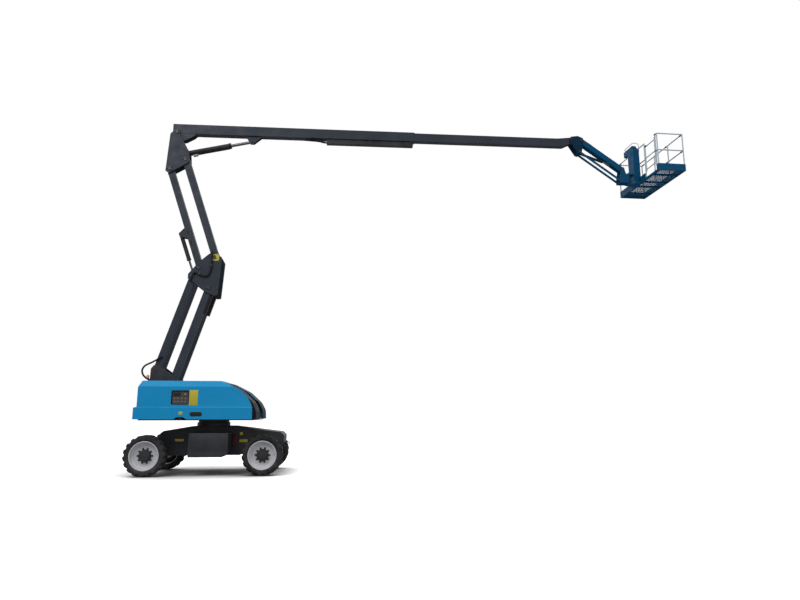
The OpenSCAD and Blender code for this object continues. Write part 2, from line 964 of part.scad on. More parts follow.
module jib_bracket() {
    color(platform_blue)
        placed()
            difference() {
                union() {
                    both_sides()
                        side_plate(jib_bracket_side, jib_plate_y, jib_plate_t);
                    for (p = [jib_arm_base, jib_link_base])
                        cross_bar(p, jib_pin_d, -jib_plate_y - jib_plate_t, jib_plate_y + jib_plate_t);
                }
                cross_bar(jib_head, head_pin_d + 2 * pin_gap, -jib_plate_y * 2, jib_plate_y * 2);
            }
}

jib_eye_w = 60;

module jib_arm() {
    color(platform_blue)
        placed()
            at_pin(jib_arm_base, -jib_drop) {
                both_sides() {
                    arm(jib_len, jib_depth, jib_tube_y0, jib_arm_y, jib_pin_d);
                    cross_bar([jib_eye_x, -jib_eye_drop], 40, jib_eye_w / 2 + 2, jib_tube_y0 + 5);
                }
                for (x = [0, jib_len])
                    difference() {
                        cross_bar([x, 0], jib_pin_d + 30, -jib_tube_y0 - 2, jib_tube_y0 + 2);
                        cross_bar([x, 0], jib_pin_d + 2 * pin_gap, -jib_arm_y, jib_arm_y);
                    }
            }
}

module jib_link() {
    color(platform_blue)
        placed()
            at_pin(jib_link_base, -jib_drop)
                both_sides()
                    arm(jib_len, link_bar_h + 14, link_bar_y0, link_bar_y0 + link_bar_t, jib_pin_d);
}

jib_bore = 76;
jib_rod_d = 45;
jib_gland = 815;

module jib_barrel() {
    color("#2a2e33")
        placed()
            at_pin(jib_lug, jib_cyl_slope)
                barrel(jib_bore, jib_rod_d, jib_gland, jib_pin_d, jib_eye_w);
}

module jib_rod() {
    color("#c9ccd0")
        placed()
            at_pin(jib_lug, jib_cyl_slope)
                piston_rod(jib_rod_d, jib_gland - jib_stroke + 140, jib_cyl_len, 72, jib_eye_w);
}

rotator_d = 180;
rotator_z0 = jib_link_end[1] - 45;
rotator_z1 = jib_link_end[1] + 235;
rotator_pin_d = 70;

module platform_support() {
    color(platform_blue)
        placed() {
            both_sides()
                side_plate([
                    jib_link_end + [-55, -50],
                    [rotator_x - 20, rotator_z0],
                    [rotator_x - 20, rotator_z1 - 60],
                    [rotator_x - 100, rotator_z1],
                    jib_arm_end + [60, -20],
                    jib_arm_end + [45, 60],
                    jib_arm_end + [-45, 60],
                    jib_link_end + [-60, 60]
                ], jib_plate_y, jib_plate_t);
            for (p = [jib_arm_end, jib_link_end])
                cross_bar(p, jib_pin_d, -jib_plate_y - jib_plate_t, jib_plate_y + jib_plate_t);
            translate([rotator_x, 0, rotator_z0])
                cylinder(d = rotator_d, h = rotator_z1 - rotator_z0);
            translate([rotator_x - 90, -jib_plate_y, rotator_z0])
                cube([70, 2 * jib_plate_y, rotator_z1 - rotator_z0]);
            translate([rotator_x, 0, rotator_z0 - 40])
                cylinder(d = rotator_pin_d, h = rotator_z1 - rotator_z0 + 80);
        }
}

platform_y = platform_l / 2;
floor_t = 60;
frame_bar = 50;
slat_w = 26;
slat_pitch = 52;
clevis_t = 34;
mast_w = 340;
mast_x0 = rotator_x + 150;

// Floor tray of bars in a frame, with the mast that carries it on the rotator
module platform_floor() {
    color(platform_blue)
        placed() {
            difference() {
                translate([platform_x0, -platform_y, floor_z - floor_t])
                    cube([platform_w, platform_l, floor_t]);
                translate([platform_x0 + frame_bar, -platform_y + frame_bar, floor_z - floor_t - 1])
                    cube([platform_w - 2 * frame_bar, platform_l - 2 * frame_bar, floor_t + 2]);
            }
            for (x = [platform_x0 + slat_pitch + 20 : slat_pitch : platform_x1 - frame_bar - slat_w])
                translate([x, -platform_y + frame_bar - 1, floor_z - 12])
                    cube([slat_w, platform_l - 2 * frame_bar + 2, 12]);
            for (y = [-0.32, -0.08, 0.08, 0.32])
                translate([platform_x0 + frame_bar - 1, y * platform_l - 20, floor_z - floor_t])
                    cube([platform_w - 2 * frame_bar + 2, 40, floor_t - 11]);
            translate([mast_x0, -mast_w / 2, rotator_z0 - run_gap - clevis_t])
                cube([platform_x0 - mast_x0, mast_w, rail_h - 20 + floor_z - rotator_z0]);
            for (z = [rotator_z0 - run_gap - clevis_t, rotator_z1 + run_gap])
                difference() {
                    union() {
                        translate([rotator_x, 0, z])
                            cylinder(d = rotator_d, h = clevis_t);
                        translate([rotator_x, -rotator_d / 2, z])
                            cube([mast_x0 - rotator_x + 1, rotator_d, clevis_t]);
                    }
                    translate([rotator_x, 0, z - 1])
                        cylinder(d = rotator_pin_d + 2 * pin_gap, h = clevis_t + 2);
                }
        }
}

toe_h = 150;
toe_t = 4;
gate_y0 = -platform_y + 120;
gate_y1 = gate_y0 + gate_w;

module toe_boards() {
    color(platform_blue)
        placed()
            translate([0, 0, floor_z]) {
                for (y = [-platform_y, platform_y - toe_t])
                    translate([platform_x0, y, 0])
                        cube([platform_w, toe_t, toe_h]);
                translate([platform_x1 - toe_t, -platform_y, 0])
                    cube([toe_t, platform_l, toe_h]);
                translate([platform_x0, gate_y1, 0])
                    cube([toe_t, platform_y - gate_y1, toe_h]);
                translate([platform_x0, -platform_y, 0])
                    cube([toe_t, gate_y0 + platform_y, toe_h]);
            }
}

rail_x0 = platform_x0 + toe_t + rail_d / 2;
rail_x1 = platform_x1 - toe_t - rail_d / 2;
rail_y = platform_y - toe_t - rail_d / 2;
rail_levels = [rail_h * 0.52, rail_h - rail_d / 2];

module post(x, y) {
    translate([x, y, floor_z])
        cylinder(d = rail_d, h = rail_h - rail_d / 2);
}

module rail_along_y(x, y0, y1, z) {
    translate([x, y0, floor_z + z])
        rotate([-90, 0, 0])
            cylinder(d = rail_d, h = y1 - y0);
    for (y = [y0, y1])
        translate([x, y, floor_z + z])
            sphere(d = rail_d);
}

module rail_along_x(y, z) {
    translate([rail_x0, y, floor_z + z])
        rod_x(rail_d, 0, rail_x1 - rail_x0);
}

hinge_tab = 12;
gate_z0 = 180;
gate_hinge_y = gate_y0 + rail_d + run_gap;
gate_pin_d = 14;

module guard_rails() {
    color("#c3c6c8")
        placed() {
            for (y = [-rail_y, -rail_y / 3, rail_y / 3, rail_y])
                post(rail_x1, y);
            for (y = [-rail_y, gate_y0, gate_y1, (gate_y1 + rail_y) / 2, rail_y])
                post(rail_x0, y);
            for (z = rail_levels) {
                rail_along_y(rail_x1, -rail_y, rail_y, z);
                rail_along_y(rail_x0, -rail_y, gate_y0, z);
                rail_along_y(rail_x0, gate_y1, rail_y, z);
                for (y = [-rail_y, rail_y])
                    rail_along_x(y, z);
            }
            for (z = [gate_z0 - hinge_tab - 2, rail_h - 90 + 2])
                translate([rail_x0, 0, floor_z + z]) {
                    translate([-15, gate_y0, 0])
                        cube([30, gate_hinge_y - gate_y0, hinge_tab]);
                    translate([0, gate_hinge_y, 0])
                        cylinder(d = 34, h = hinge_tab);
                }
            translate([rail_x0, gate_hinge_y, floor_z + gate_z0 - 2])
                cylinder(d = gate_pin_d, h = 42);
            translate([rail_x0, gate_hinge_y, floor_z + rail_h - 128])
                cylinder(d = gate_pin_d, h = 42);
        }
}

module gate() {
    top = rail_h - 90;
    far = gate_y1 - rail_d - run_gap;
    color("#c3c6c8")
        placed()
            difference() {
                translate([rail_x0, 0, floor_z]) {
                    for (y = [gate_hinge_y, far])
                        translate([0, y, gate_z0])
                            cylinder(d = rail_d, h = top - gate_z0);
                    for (z = [gate_z0 + 60, (gate_z0 + top) / 2, top - 60])
                        translate([0, gate_hinge_y, z])
                            rotate([-90, 0, 0])
                                cylinder(d = rail_d - 6, h = far - gate_hinge_y);
                }
                for (z = [gate_z0 - 1, top - 45])
                    translate([rail_x0, gate_hinge_y, floor_z + z])
                        cylinder(d = gate_pin_d + 2 * pin_gap, h = 46);
            }
}

console_l = 560;
console_w = 230;
console_h = 190;

// Control box on the inner rail, with a sloping front and a foot clamped round the rail
module console() {
    color("#24282d")
        placed()
            translate([platform_x0 + toe_t, 140, floor_z + rail_h + 0.3]) {
                translate([0, console_l, 0])
                    rotate([90, 0, 0])
                        linear_extrude(console_l)
                            polygon([
                                [-60, 0], [console_w - 60, 0], [console_w - 60, 70],
                                [40, console_h], [-60, console_h]
                            ]);
            }
}

chassis_frame();
slew_bearing();
side_boxes();
fixed_axle();
steer_axle();
steer_knuckle_near();
steer_knuckle_far();
tyre(-1, -1);  // tyre_front_near
tyre(-1, 1);  // tyre_front_far
tyre(1, -1);  // tyre_rear_near
tyre(1, 1);  // tyre_rear_far
rim(-1, -1);  // rim_front_near
rim(-1, 1);  // rim_front_far
rim(1, -1);  // rim_rear_near
rim(1, 1);  // rim_rear_far
turntable_frame();
counterweight();
battery_packs();
ground_control();
beacon();
hood_near();
hood_far();
lower_arm();
lower_link();
riser_knuckle();
upper_arm();
upper_link();
boom_upright();
riser_barrel();
riser_rod();
main_boom();
hose_tray();
fly_boom();
boom_barrel();
boom_rod();
jib_bracket();
jib_arm();
jib_link();
jib_barrel();
jib_rod();
platform_support();
platform_floor();
toe_boards();
guard_rails();
console();
gate();
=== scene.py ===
import math

import bmesh
import bpy
from mathutils import Matrix, Vector


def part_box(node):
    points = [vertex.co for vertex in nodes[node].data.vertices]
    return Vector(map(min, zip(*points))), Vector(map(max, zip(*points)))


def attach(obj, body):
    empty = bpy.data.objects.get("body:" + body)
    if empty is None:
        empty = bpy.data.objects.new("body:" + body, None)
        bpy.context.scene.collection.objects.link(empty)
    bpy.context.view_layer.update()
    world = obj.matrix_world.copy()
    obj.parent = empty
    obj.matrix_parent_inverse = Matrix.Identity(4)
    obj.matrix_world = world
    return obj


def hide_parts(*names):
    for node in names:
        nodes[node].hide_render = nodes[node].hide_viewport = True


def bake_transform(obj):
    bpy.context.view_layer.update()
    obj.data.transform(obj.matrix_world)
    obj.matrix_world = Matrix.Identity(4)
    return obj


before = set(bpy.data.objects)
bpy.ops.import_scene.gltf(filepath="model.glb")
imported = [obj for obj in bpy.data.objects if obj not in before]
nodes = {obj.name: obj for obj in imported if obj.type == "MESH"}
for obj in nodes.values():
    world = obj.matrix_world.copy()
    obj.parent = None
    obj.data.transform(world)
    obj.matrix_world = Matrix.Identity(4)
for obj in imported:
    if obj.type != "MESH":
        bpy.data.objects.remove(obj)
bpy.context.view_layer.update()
scene = bpy.context.scene

# Studio: a wide white floor without a horizon, with a painted soft shadow under the machine, an even bright
# sky and three large soft lights.
# The camera stands low in front of the machine's near side and looks up along the boom.
# Places are measured from the slew axis, whose place in the frame the slew ring gives.
ring_low, ring_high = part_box("slew_bearing")
SLEW_X = (ring_low[0] + ring_high[0]) / 2
EYE = Vector((SLEW_X + 3.2, -17.1, 1.578))
YAW = 0.1081
PITCH = 0.1836
PHOTO_WIDTH = 800
FOCAL_PIXELS = 603.5
SENSOR = 36.0

camera_data = bpy.data.cameras.new("photo_camera")
camera_data.sensor_fit = "HORIZONTAL"
camera_data.sensor_width = SENSOR
camera_data.lens = SENSOR * FOCAL_PIXELS / PHOTO_WIDTH
camera_data.clip_end = 400
camera = bpy.data.objects.new("photo_camera", camera_data)
camera.location = EYE
camera.rotation_euler = (math.pi / 2 + PITCH, 0, -YAW)
scene.collection.objects.link(camera)
scene.camera = camera
scene.view_settings.view_transform = "Standard"


def bare_material(name):
    """A node material with its shader and its Object coordinates."""
    made = bpy.data.materials.new(name)
    made.use_nodes = True
    tree = made.node_tree
    shader = tree.nodes["Principled BSDF"]
    place = tree.nodes.new("ShaderNodeTexCoord").outputs["Object"]
    return made, tree, shader, place


def speckle(tree, place, scale, detail=4.0, roughness=0.55):
    """Noise over the piece, as a number from 0 to 1."""
    noise = tree.nodes.new("ShaderNodeTexNoise")
    noise.inputs["Scale"].default_value = scale
    noise.inputs["Detail"].default_value = detail
    noise.inputs["Roughness"].default_value = roughness
    tree.links.new(place, noise.inputs["Vector"])
    return noise.outputs["Fac"]


def ramp(tree, value, low, high, start=0.0, end=1.0):
    """Value read between low and high and spread from start to end."""
    spread = tree.nodes.new("ShaderNodeMapRange")
    spread.inputs["From Min"].default_value = low
    spread.inputs["From Max"].default_value = high
    spread.inputs["To Min"].default_value = start
    spread.inputs["To Max"].default_value = end
    tree.links.new(value, spread.inputs["Value"])
    return spread.outputs["Result"]


def mixed(tree, share, first, second):
    """Two colours mixed by a share; each is a socket or a plain colour."""
    mix = tree.nodes.new("ShaderNodeMix")
    mix.data_type = "RGBA"
    tree.links.new(share, mix.inputs["Factor"])
    for socket, colour in ((mix.inputs["A"], first), (mix.inputs["B"], second)):
        if isinstance(colour, tuple):
            socket.default_value = (*colour, 1)
        else:
            tree.links.new(colour, socket)
    return mix.outputs["Result"]


def times(tree, first, second):
    """Product of two numbers."""
    node = tree.nodes.new("ShaderNodeMath")
    node.operation = "MULTIPLY"
    tree.links.new(first, node.inputs[0])
    tree.links.new(second, node.inputs[1])
    return node.outputs[0]


def bumped(tree, shader, height, strength, distance):
    """Surface relief from a height between 0 and 1."""
    bump = tree.nodes.new("ShaderNodeBump")
    bump.inputs["Strength"].default_value = strength
    bump.inputs["Distance"].default_value = distance
    tree.links.new(height, bump.inputs["Height"])
    tree.links.new(bump.outputs["Normal"], shader.inputs["Normal"])


def linear(red, green, blue):
    """Colour as a picture shows it, from 0 to 255, as a shader's linear colour."""
    shares = [value / 255 for value in (red, green, blue)]
    return tuple(s / 12.92 if s <= 0.04045 else ((s + 0.055) / 1.055) ** 2.4 for s in shares)


def seen_first(tree):
    """1 for what the camera sees straight away, 0 for light that bounces."""
    return tree.nodes.new("ShaderNodeLightPath").outputs["Is Camera Ray"]


FLOOR_HALF = 120.0
FLOOR_GLOW = 0.3
FLOOR_DULL = (0.88, 0.88, 0.88)
FLOOR_PALE = (0.91, 0.91, 0.91)
FLOOR_SHADE = (0.15, 0.15, 0.15)
FLOOR_BOUNCE = (0.3, 0.3, 0.31)
SHADE_REACH = 2.2
SHADE_DEEP = 0.3
SHADE_NONE = 0.92
SHADE_SAMPLES = 12
CORNERS = ((-1, -1), (1, -1), (1, 1), (-1, 1))
floor_corners = [(x * FLOOR_HALF, y * FLOOR_HALF, 0) for x, y in CORNERS]
floor_mesh = bpy.data.meshes.new("studio_floor")
floor_mesh.from_pydata(floor_corners, [], [(0, 1, 2, 3)])
floor_paint, floor_tree, floor_shader, floor_place = bare_material("studio_floor")
floor_tone = ramp(floor_tree, speckle(floor_tree, floor_place, 0.4), 0.3, 0.7)
floor_colour = mixed(floor_tree, floor_tone, FLOOR_DULL, FLOOR_PALE)
# Painted shadow: ambient occlusion darkens the floor towards FLOOR_SHADE where the machine stands close
# above it, and takes away its glow there too.
painted_shadow_ao = floor_tree.nodes.new("ShaderNodeAmbientOcclusion")
painted_shadow_ao.inputs["Distance"].default_value = SHADE_REACH
painted_shadow_ao.samples = SHADE_SAMPLES
open_share = ramp(floor_tree, painted_shadow_ao.outputs["AO"], SHADE_DEEP, SHADE_NONE)
floor_shaded = mixed(floor_tree, open_share, FLOOR_SHADE, floor_colour)
floor_shown = mixed(floor_tree, seen_first(floor_tree), FLOOR_BOUNCE, floor_shaded)
floor_tree.links.new(floor_shown, floor_shader.inputs["Base Color"])
floor_shader.inputs["Roughness"].default_value = 0.8
floor_shader.inputs["Specular IOR Level"].default_value = 0.1
floor_shader.inputs["Emission Color"].default_value = (1, 1, 1, 1)
floor_glow = ramp(floor_tree, seen_first(floor_tree), 0.0, 1.0, 0.0, FLOOR_GLOW)
floor_lift = times(floor_tree, floor_glow, open_share)
floor_tree.links.new(floor_lift, floor_shader.inputs["Emission Strength"])
floor_mesh.materials.append(floor_paint)
floor = bpy.data.objects.new("studio_floor", floor_mesh)
scene.collection.objects.link(floor)

SKY_LOW = 0.42
SKY_HIGH = 1.35
sky = bpy.data.worlds.new("studio_sky")
sky.use_nodes = True
sky_tree = sky.node_tree
sky_light = sky_tree.nodes["Background"]
sky_up = sky_tree.nodes.new("ShaderNodeSeparateXYZ")
sky_place = sky_tree.nodes.new("ShaderNodeTexCoord").outputs["Generated"]
sky_tree.links.new(sky_place, sky_up.inputs["Vector"])
sky_dome = ramp(sky_tree, sky_up.outputs["Z"], -0.1, 0.9, SKY_LOW, SKY_HIGH)
sky_tone = mixed(sky_tree, seen_first(sky_tree), sky_dome, (1.0, 1.0, 1.0))
sky_tree.links.new(sky_tone, sky_light.inputs["Color"])
scene.world = sky


def soft_light(name, place, target, size, power):
    """Large square lamp turned to a target."""
    lamp = bpy.data.lights.new(name, "AREA")
    lamp.shape = "SQUARE"
    lamp.size = size
    lamp.energy = power
    holder = bpy.data.objects.new(name, lamp)
    holder.location = place
    holder.rotation_euler = (Vector(target) - Vector(place)).to_track_quat("-Z", "Y").to_euler()
    scene.collection.objects.link(holder)


MIDDLE = (0, 0, 4)
soft_light("key_light", (-12, -14, 17), MIDDLE, 9, 2600)
soft_light("fill_light", (13, -16, 9), MIDDLE, 12, 900)
soft_light("back_light", (4, 16, 15), MIDDLE, 10, 1200)


# Chassis: a welded box of black painted plate, with a box on each side between the wheels.
# The slew ring is bolted to its top; its bolts stand in a circle on the ring's flange.
# Cut plate is never knife-edged, so every welded piece has small rounded edges.
BLACK = linear(17, 20, 25)
DUST = linear(96, 91, 84)
DUST_TOP = 1.0
WELD_STEP = 0.0002
EDGE_ANGLE = math.radians(32)
FLAT_ANGLE = math.radians(0.4)
WEAR_REACH = 0.012
FADED_TONE = 0.3
BARE_TONE = 0.22


def edge_wear(tree, place):
    """Share of paint that is rubbed thin: broken patches along the edges of a piece."""
    soft = tree.nodes.new("ShaderNodeBevel")
    soft.samples = 4
    soft.inputs["Radius"].default_value = WEAR_REACH
    turned = tree.nodes.new("ShaderNodeVectorMath")
    turned.operation = "DOT_PRODUCT"
    tree.links.new(soft.outputs["Normal"], turned.inputs[0])
    tree.links.new(tree.nodes.new("ShaderNodeNewGeometry").outputs["Normal"], turned.inputs[1])
    edge = ramp(tree, turned.outputs["Value"], 0.995, 0.9)
    return times(tree, edge, ramp(tree, speckle(tree, place, 14.0, 8.0, 0.7), 0.45, 0.7))


def painted(name, colour, rough=0.45, shine=0.2, coat=0.0, dust=0.12, fade=0.06, peel=0.12, wear=0.3):
    """Sprayed paint on steel: faded in broad clouds, dull in patches, dusty towards the ground."""
    made, tree, shader, place = bare_material(name)
    clouds = ramp(tree, speckle(tree, place, 1.3, 6.0), 0.35, 0.65)
    faded = tuple(c + (FADED_TONE - c) * fade for c in colour)
    rubbed = tuple(c + (BARE_TONE - c) * wear for c in colour)
    tone = mixed(tree, edge_wear(tree, place), mixed(tree, clouds, colour, faded), rubbed)
    height = tree.nodes.new("ShaderNodeSeparateXYZ")
    tree.links.new(place, height.inputs["Vector"])
    low = ramp(tree, height.outputs["Z"], 0.0, DUST_TOP, dust, 0.01)
    grime = ramp(tree, speckle(tree, place, 9.0, 8.0, 0.65), 0.4, 0.75)
    tree.links.new(mixed(tree, times(tree, grime, low), tone, DUST), shader.inputs["Base Color"])
    dull = ramp(tree, speckle(tree, place, 5.0, 7.0), 0.3, 0.7, rough - 0.08, rough + 0.14)
    tree.links.new(dull, shader.inputs["Roughness"])
    shader.inputs["Specular IOR Level"].default_value = shine
    shader.inputs["Coat Weight"].default_value = coat
    shader.inputs["Coat Roughness"].default_value = 0.2
    bumped(tree, shader, speckle(tree, place, 240.0, 2.0), peel, 0.0006)
    return made


def plain(name, colour, rough=0.5, shine=0.3, metal=0.0, grain=30.0):
    """Bare metal, rubber or plastic with a slightly uneven sheen."""
    made, tree, shader, place = bare_material(name)
    cloud = speckle(tree, place, grain, 5.0)
    darker = tuple(c * 0.8 for c in colour)
    tree.links.new(mixed(tree, ramp(tree, cloud, 0.35, 0.65), colour, darker), shader.inputs["Base Color"])
    tree.links.new(ramp(tree, cloud, 0.3, 0.7, rough - 0.06, rough + 0.08), shader.inputs["Roughness"])
    shader.inputs["Metallic"].default_value = metal
    shader.inputs["Specular IOR Level"].default_value = shine
    return made


def finish(names, material, edge=0.0, steps=2):
    """Gives CAD nodes a better material and, where edge is given, rounded edges of that width."""
    for name in names:
        slots = nodes[name].data.materials
        slots.clear()
        slots.append(material)
        if edge:
            weld = nodes[name].modifiers.new("weld", "WELD")
            weld.merge_threshold = WELD_STEP
            flat = nodes[name].modifiers.new("flat", "DECIMATE")
            flat.decimate_type = "DISSOLVE"
            flat.angle_limit = FLAT_ANGLE
            soft = nodes[name].modifiers.new("soft", "BEVEL")
            soft.limit_method = "ANGLE"
            soft.angle_limit = EDGE_ANGLE
            soft.width = edge
            soft.segments = steps
            soft.use_clamp_overlap = True
            soft.harden_normals = True
            even = nodes[name].modifiers.new("even", "WEIGHTED_NORMAL")
            even.keep_sharp = True


def brick(shape, low, high):
    """Box between two corners."""
    made = bmesh.ops.create_cube(shape, size=1)["verts"]
    for vertex in made:
        vertex.co = Vector([low[i] + (high[i] - low[i]) * (vertex.co[i] + 0.5) for i in range(3)])
    return made


def prism(shape, outline, y0, y1):
    """Plate cut to an outline in side view, from y0 to y1."""
    near = [shape.verts.new((x, y0, z)) for x, z in outline]
    far = [shape.verts.new((x, y1, z)) for x, z in outline]
    shape.faces.new(near)
    shape.faces.new(list(reversed(far)))
    for i in range(len(outline)):
        j = (i + 1) % len(outline)
        shape.faces.new((near[i], far[i], far[j], near[j]))
    return near + far


def lathe(shape, profile, middle, axis, steps=32):
    """Turned form: points of (radius, distance along the axis), closed on the axis where the radius is 0."""
    turn = Vector((0, 0, 1)).rotation_difference(Vector(axis)).to_matrix()
    rows = []
    for radius, along in profile:
        turns = [i * math.tau / steps for i in range(1 if radius == 0 else steps)]
        ring = [Vector((radius * math.cos(t), radius * math.sin(t), along)) for t in turns]
        rows.append([shape.verts.new(Vector(middle) + turn @ point) for point in ring])
    for low, high in zip(rows, rows[1:]):
        for i in range(steps):
            j = (i + 1) % steps
            corners = [low[i % len(low)], low[j % len(low)], high[j % len(high)], high[i % len(high)]]
            shape.faces.new(list(dict.fromkeys(corners)))
    return [vertex for row in rows for vertex in row]


def rounded_path(points, radius, steps=5):
    """The points of a path with its corners rounded."""
    points = [Vector(p) for p in points]
    path = [points[0]]
    for before, corner, after in zip(points, points[1:], points[2:]):
        back = (before - corner).normalized()
        ahead = (after - corner).normalized()
        reach = min(radius, (before - corner).length * 0.49, (after - corner).length * 0.49)
        start = corner + back * reach
        end = corner + ahead * reach
        for i in range(steps + 1):
            t = i / steps
            path.append(start * (1 - t) ** 2 + corner * 2 * t * (1 - t) + end * t ** 2)
    path.append(points[-1])
    return path


def tube(shape, path, radius, steps=12):
    """Round bar or hose along a path, closed at both ends."""
    path = [Vector(p) for p in path]
    side = (path[1] - path[0]).orthogonal().normalized()
    turns = [k * math.tau / steps for k in range(steps)]
    rings = []
    for i, point in enumerate(path):
        ahead = (path[min(i + 1, len(path) - 1)] - path[max(i - 1, 0)]).normalized()
        side = (side - ahead * side.dot(ahead)).normalized()
        other = ahead.cross(side)
        ring = [point + (side * math.cos(t) + other * math.sin(t)) * radius for t in turns]
        rings.append([shape.verts.new(p) for p in ring])
    for low, high in zip(rings, rings[1:]):
        for k in range(steps):
            shape.faces.new((low[k], low[(k + 1) % steps], high[(k + 1) % steps], high[k]))
    shape.faces.new(list(reversed(rings[0])))
    shape.faces.new(rings[-1])


def soften(shape, edges, width, steps):
    """Rounds some edges of a shape."""
    bmesh.ops.bevel(
        shape, geom=edges, offset=width, segments=steps, profile=0.5, affect="EDGES", clamp_overlap=True
    )


def piece(name, shape, material, body, edge=0.0, steps=2, crease=35):
    """Closes a shape measured from the slew axis into an object that moves with a body."""
    if edge:
        sharp = [e for e in shape.edges if len(e.link_faces) == 2 and e.calc_face_angle() > EDGE_ANGLE]
        soften(shape, sharp, edge, steps)
    bmesh.ops.recalc_face_normals(shape, faces=shape.faces)
    bmesh.ops.translate(shape, verts=shape.verts, vec=(SLEW_X, 0, 0))
    mesh = bpy.data.meshes.new(name)
    shape.to_mesh(mesh)
    shape.free()
    mesh.shade_smooth()
    mesh.set_sharp_from_angle(angle=math.radians(crease))
    mesh.materials.append(material)
    made = bpy.data.objects.new(name, mesh)
    scene.collection.objects.link(made)
    if body:
        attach(made, body)
    return made


def bolt_field():
    """Geometry nodes: a hexagonal bolt head on a washer at each point, along the point's direction."""
    group = bpy.data.node_groups.new("bolt_field", "GeometryNodeTree")
    add = group.nodes.new
    link = group.links.new
    sizes = (("Head Width", "Float"), ("Head Height", "Float"), ("Seed", "Int"), ("Steel", "Material"))
    for label, kind in (("Points", "Geometry"), *sizes):
        group.interface.new_socket(label, in_out="INPUT", socket_type=f"NodeSocket{kind}")
    group.interface.new_socket("Bolts", in_out="OUTPUT", socket_type="NodeSocketGeometry")
    given = add("NodeGroupInput")
    result = add("NodeGroupOutput")

    def share(label, factor):
        """A share of one of the tree's sizes."""
        product = add("ShaderNodeMath")
        product.operation = "MULTIPLY"
        product.inputs[1].default_value = factor
        link(given.outputs[label], product.inputs[0])
        return product.outputs[0]

    head = add("GeometryNodeMeshCylinder")
    head.inputs["Vertices"].default_value = 6
    link(share("Head Width", 0.5), head.inputs["Radius"])
    link(given.outputs["Head Height"], head.inputs["Depth"])
    washer = add("GeometryNodeMeshCylinder")
    washer.inputs["Vertices"].default_value = 16
    link(share("Head Width", 0.72), washer.inputs["Radius"])
    link(share("Head Height", 0.5), washer.inputs["Depth"])
    lower = add("ShaderNodeCombineXYZ")
    link(share("Head Height", -0.45), lower.inputs["Z"])
    drop = add("GeometryNodeTransform")
    link(lower.outputs[0], drop.inputs["Translation"])
    link(washer.outputs["Mesh"], drop.inputs["Geometry"])
    join = add("GeometryNodeJoinGeometry")
    link(head.outputs["Mesh"], join.inputs["Geometry"])
    link(drop.outputs["Geometry"], join.inputs["Geometry"])
    points = add("GeometryNodeMeshToPoints")
    link(given.outputs["Points"], points.inputs["Mesh"])
    along = add("GeometryNodeInputNamedAttribute")
    along.data_type = "FLOAT_VECTOR"
    along.inputs["Name"].default_value = "along"
    stand = add("FunctionNodeAlignRotationToVector")
    stand.axis = "Z"
    link(along.outputs["Attribute"], stand.inputs["Vector"])
    spin = add("FunctionNodeRandomValue")
    spin.data_type = "FLOAT"
    spin.inputs["Max"].default_value = math.tau
    link(given.outputs["Seed"], spin.inputs["Seed"])
    place = add("GeometryNodeInstanceOnPoints")
    link(points.outputs["Points"], place.inputs["Points"])
    link(join.outputs["Geometry"], place.inputs["Instance"])
    link(stand.outputs["Rotation"], place.inputs["Rotation"])
    twist = add("GeometryNodeRotateInstances")
    turned = add("ShaderNodeCombineXYZ")
    link(spin.outputs["Value"], turned.inputs["Z"])
    link(turned.outputs[0], twist.inputs["Rotation"])
    link(place.outputs["Instances"], twist.inputs["Instances"])
    real = add("GeometryNodeRealizeInstances")
    link(twist.outputs["Instances"], real.inputs["Geometry"])
    steel = add("GeometryNodeSetMaterial")
    link(real.outputs["Geometry"], steel.inputs["Geometry"])
    link(given.outputs["Steel"], steel.inputs["Material"])
    link(steel.outputs["Geometry"], result.inputs["Bolts"])
    return group


BOLT_FIELD = bolt_field()
BOLT_SEED = 7
HEAD_SHARE = 0.55


def bolts(name, spots, width, material, body):
    """Bolt heads at spots of (place, direction), measured from the slew axis."""
    mesh = bpy.data.meshes.new(name)
    mesh.from_pydata([Vector(place) + Vector((SLEW_X, 0, 0)) for place, _ in spots], [], [])
    along = mesh.attributes.new("along", "FLOAT_VECTOR", "POINT")
    for item, (_, direction) in zip(along.data, spots):
        item.vector = direction
    made = bpy.data.objects.new(name, mesh)
    scene.collection.objects.link(made)
    field = made.modifiers.new("bolts", "NODES")
    field.node_group = BOLT_FIELD
    values = {"Head Width": width, "Head Height": width * HEAD_SHARE, "Seed": BOLT_SEED, "Steel": material}
    for item in BOLT_FIELD.interface.items_tree:
        if item.name in values:
            field[item.identifier] = values[item.name]
    bpy.context.view_layer.update()
    shown = bpy.data.meshes.new_from_object(made.evaluated_get(bpy.context.evaluated_depsgraph_get()))
    made.modifiers.remove(field)
    made.data = shown
    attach(made, body)


SIDES = ((-1, "near"), (1, "far"))
black_paint = painted("black_paint", BLACK)
bearing_steel = painted("bearing_steel", linear(22, 24, 28), rough=0.35)
side_paint = painted("side_box_paint", linear(25, 29, 35))
bolt_steel = plain("bolt_steel", linear(62, 64, 68), rough=0.38, shine=0.4, metal=0.6)
finish(["chassis_frame"], black_paint, 0.006)
finish(["side_boxes"], side_paint, 0.012)
finish(["fixed_axle", "steer_axle", "steer_knuckle_near", "steer_knuckle_far"], black_paint, 0.004)
finish(["slew_bearing"], bearing_steel, 0.004)

RING_BOLTS = 36
RING_BOLT_SHARE = 0.965
RING_FLANGE_SHARE = 0.55
RING_BOLT_LIFT = 0.004
ring_out = (ring_high[0] - ring_low[0]) / 2 * RING_BOLT_SHARE
ring_top = ring_low[2] + (ring_high[2] - ring_low[2]) * RING_FLANGE_SHARE + RING_BOLT_LIFT
ring_spots = []
for i in range(RING_BOLTS):
    angle = i * math.tau / RING_BOLTS
    ring_spots.append(((ring_out * math.cos(angle), ring_out * math.sin(angle), ring_top), (0, 0, 1)))
bolts("slew_ring_bolts", ring_spots, 0.022, bolt_steel, "chassis")


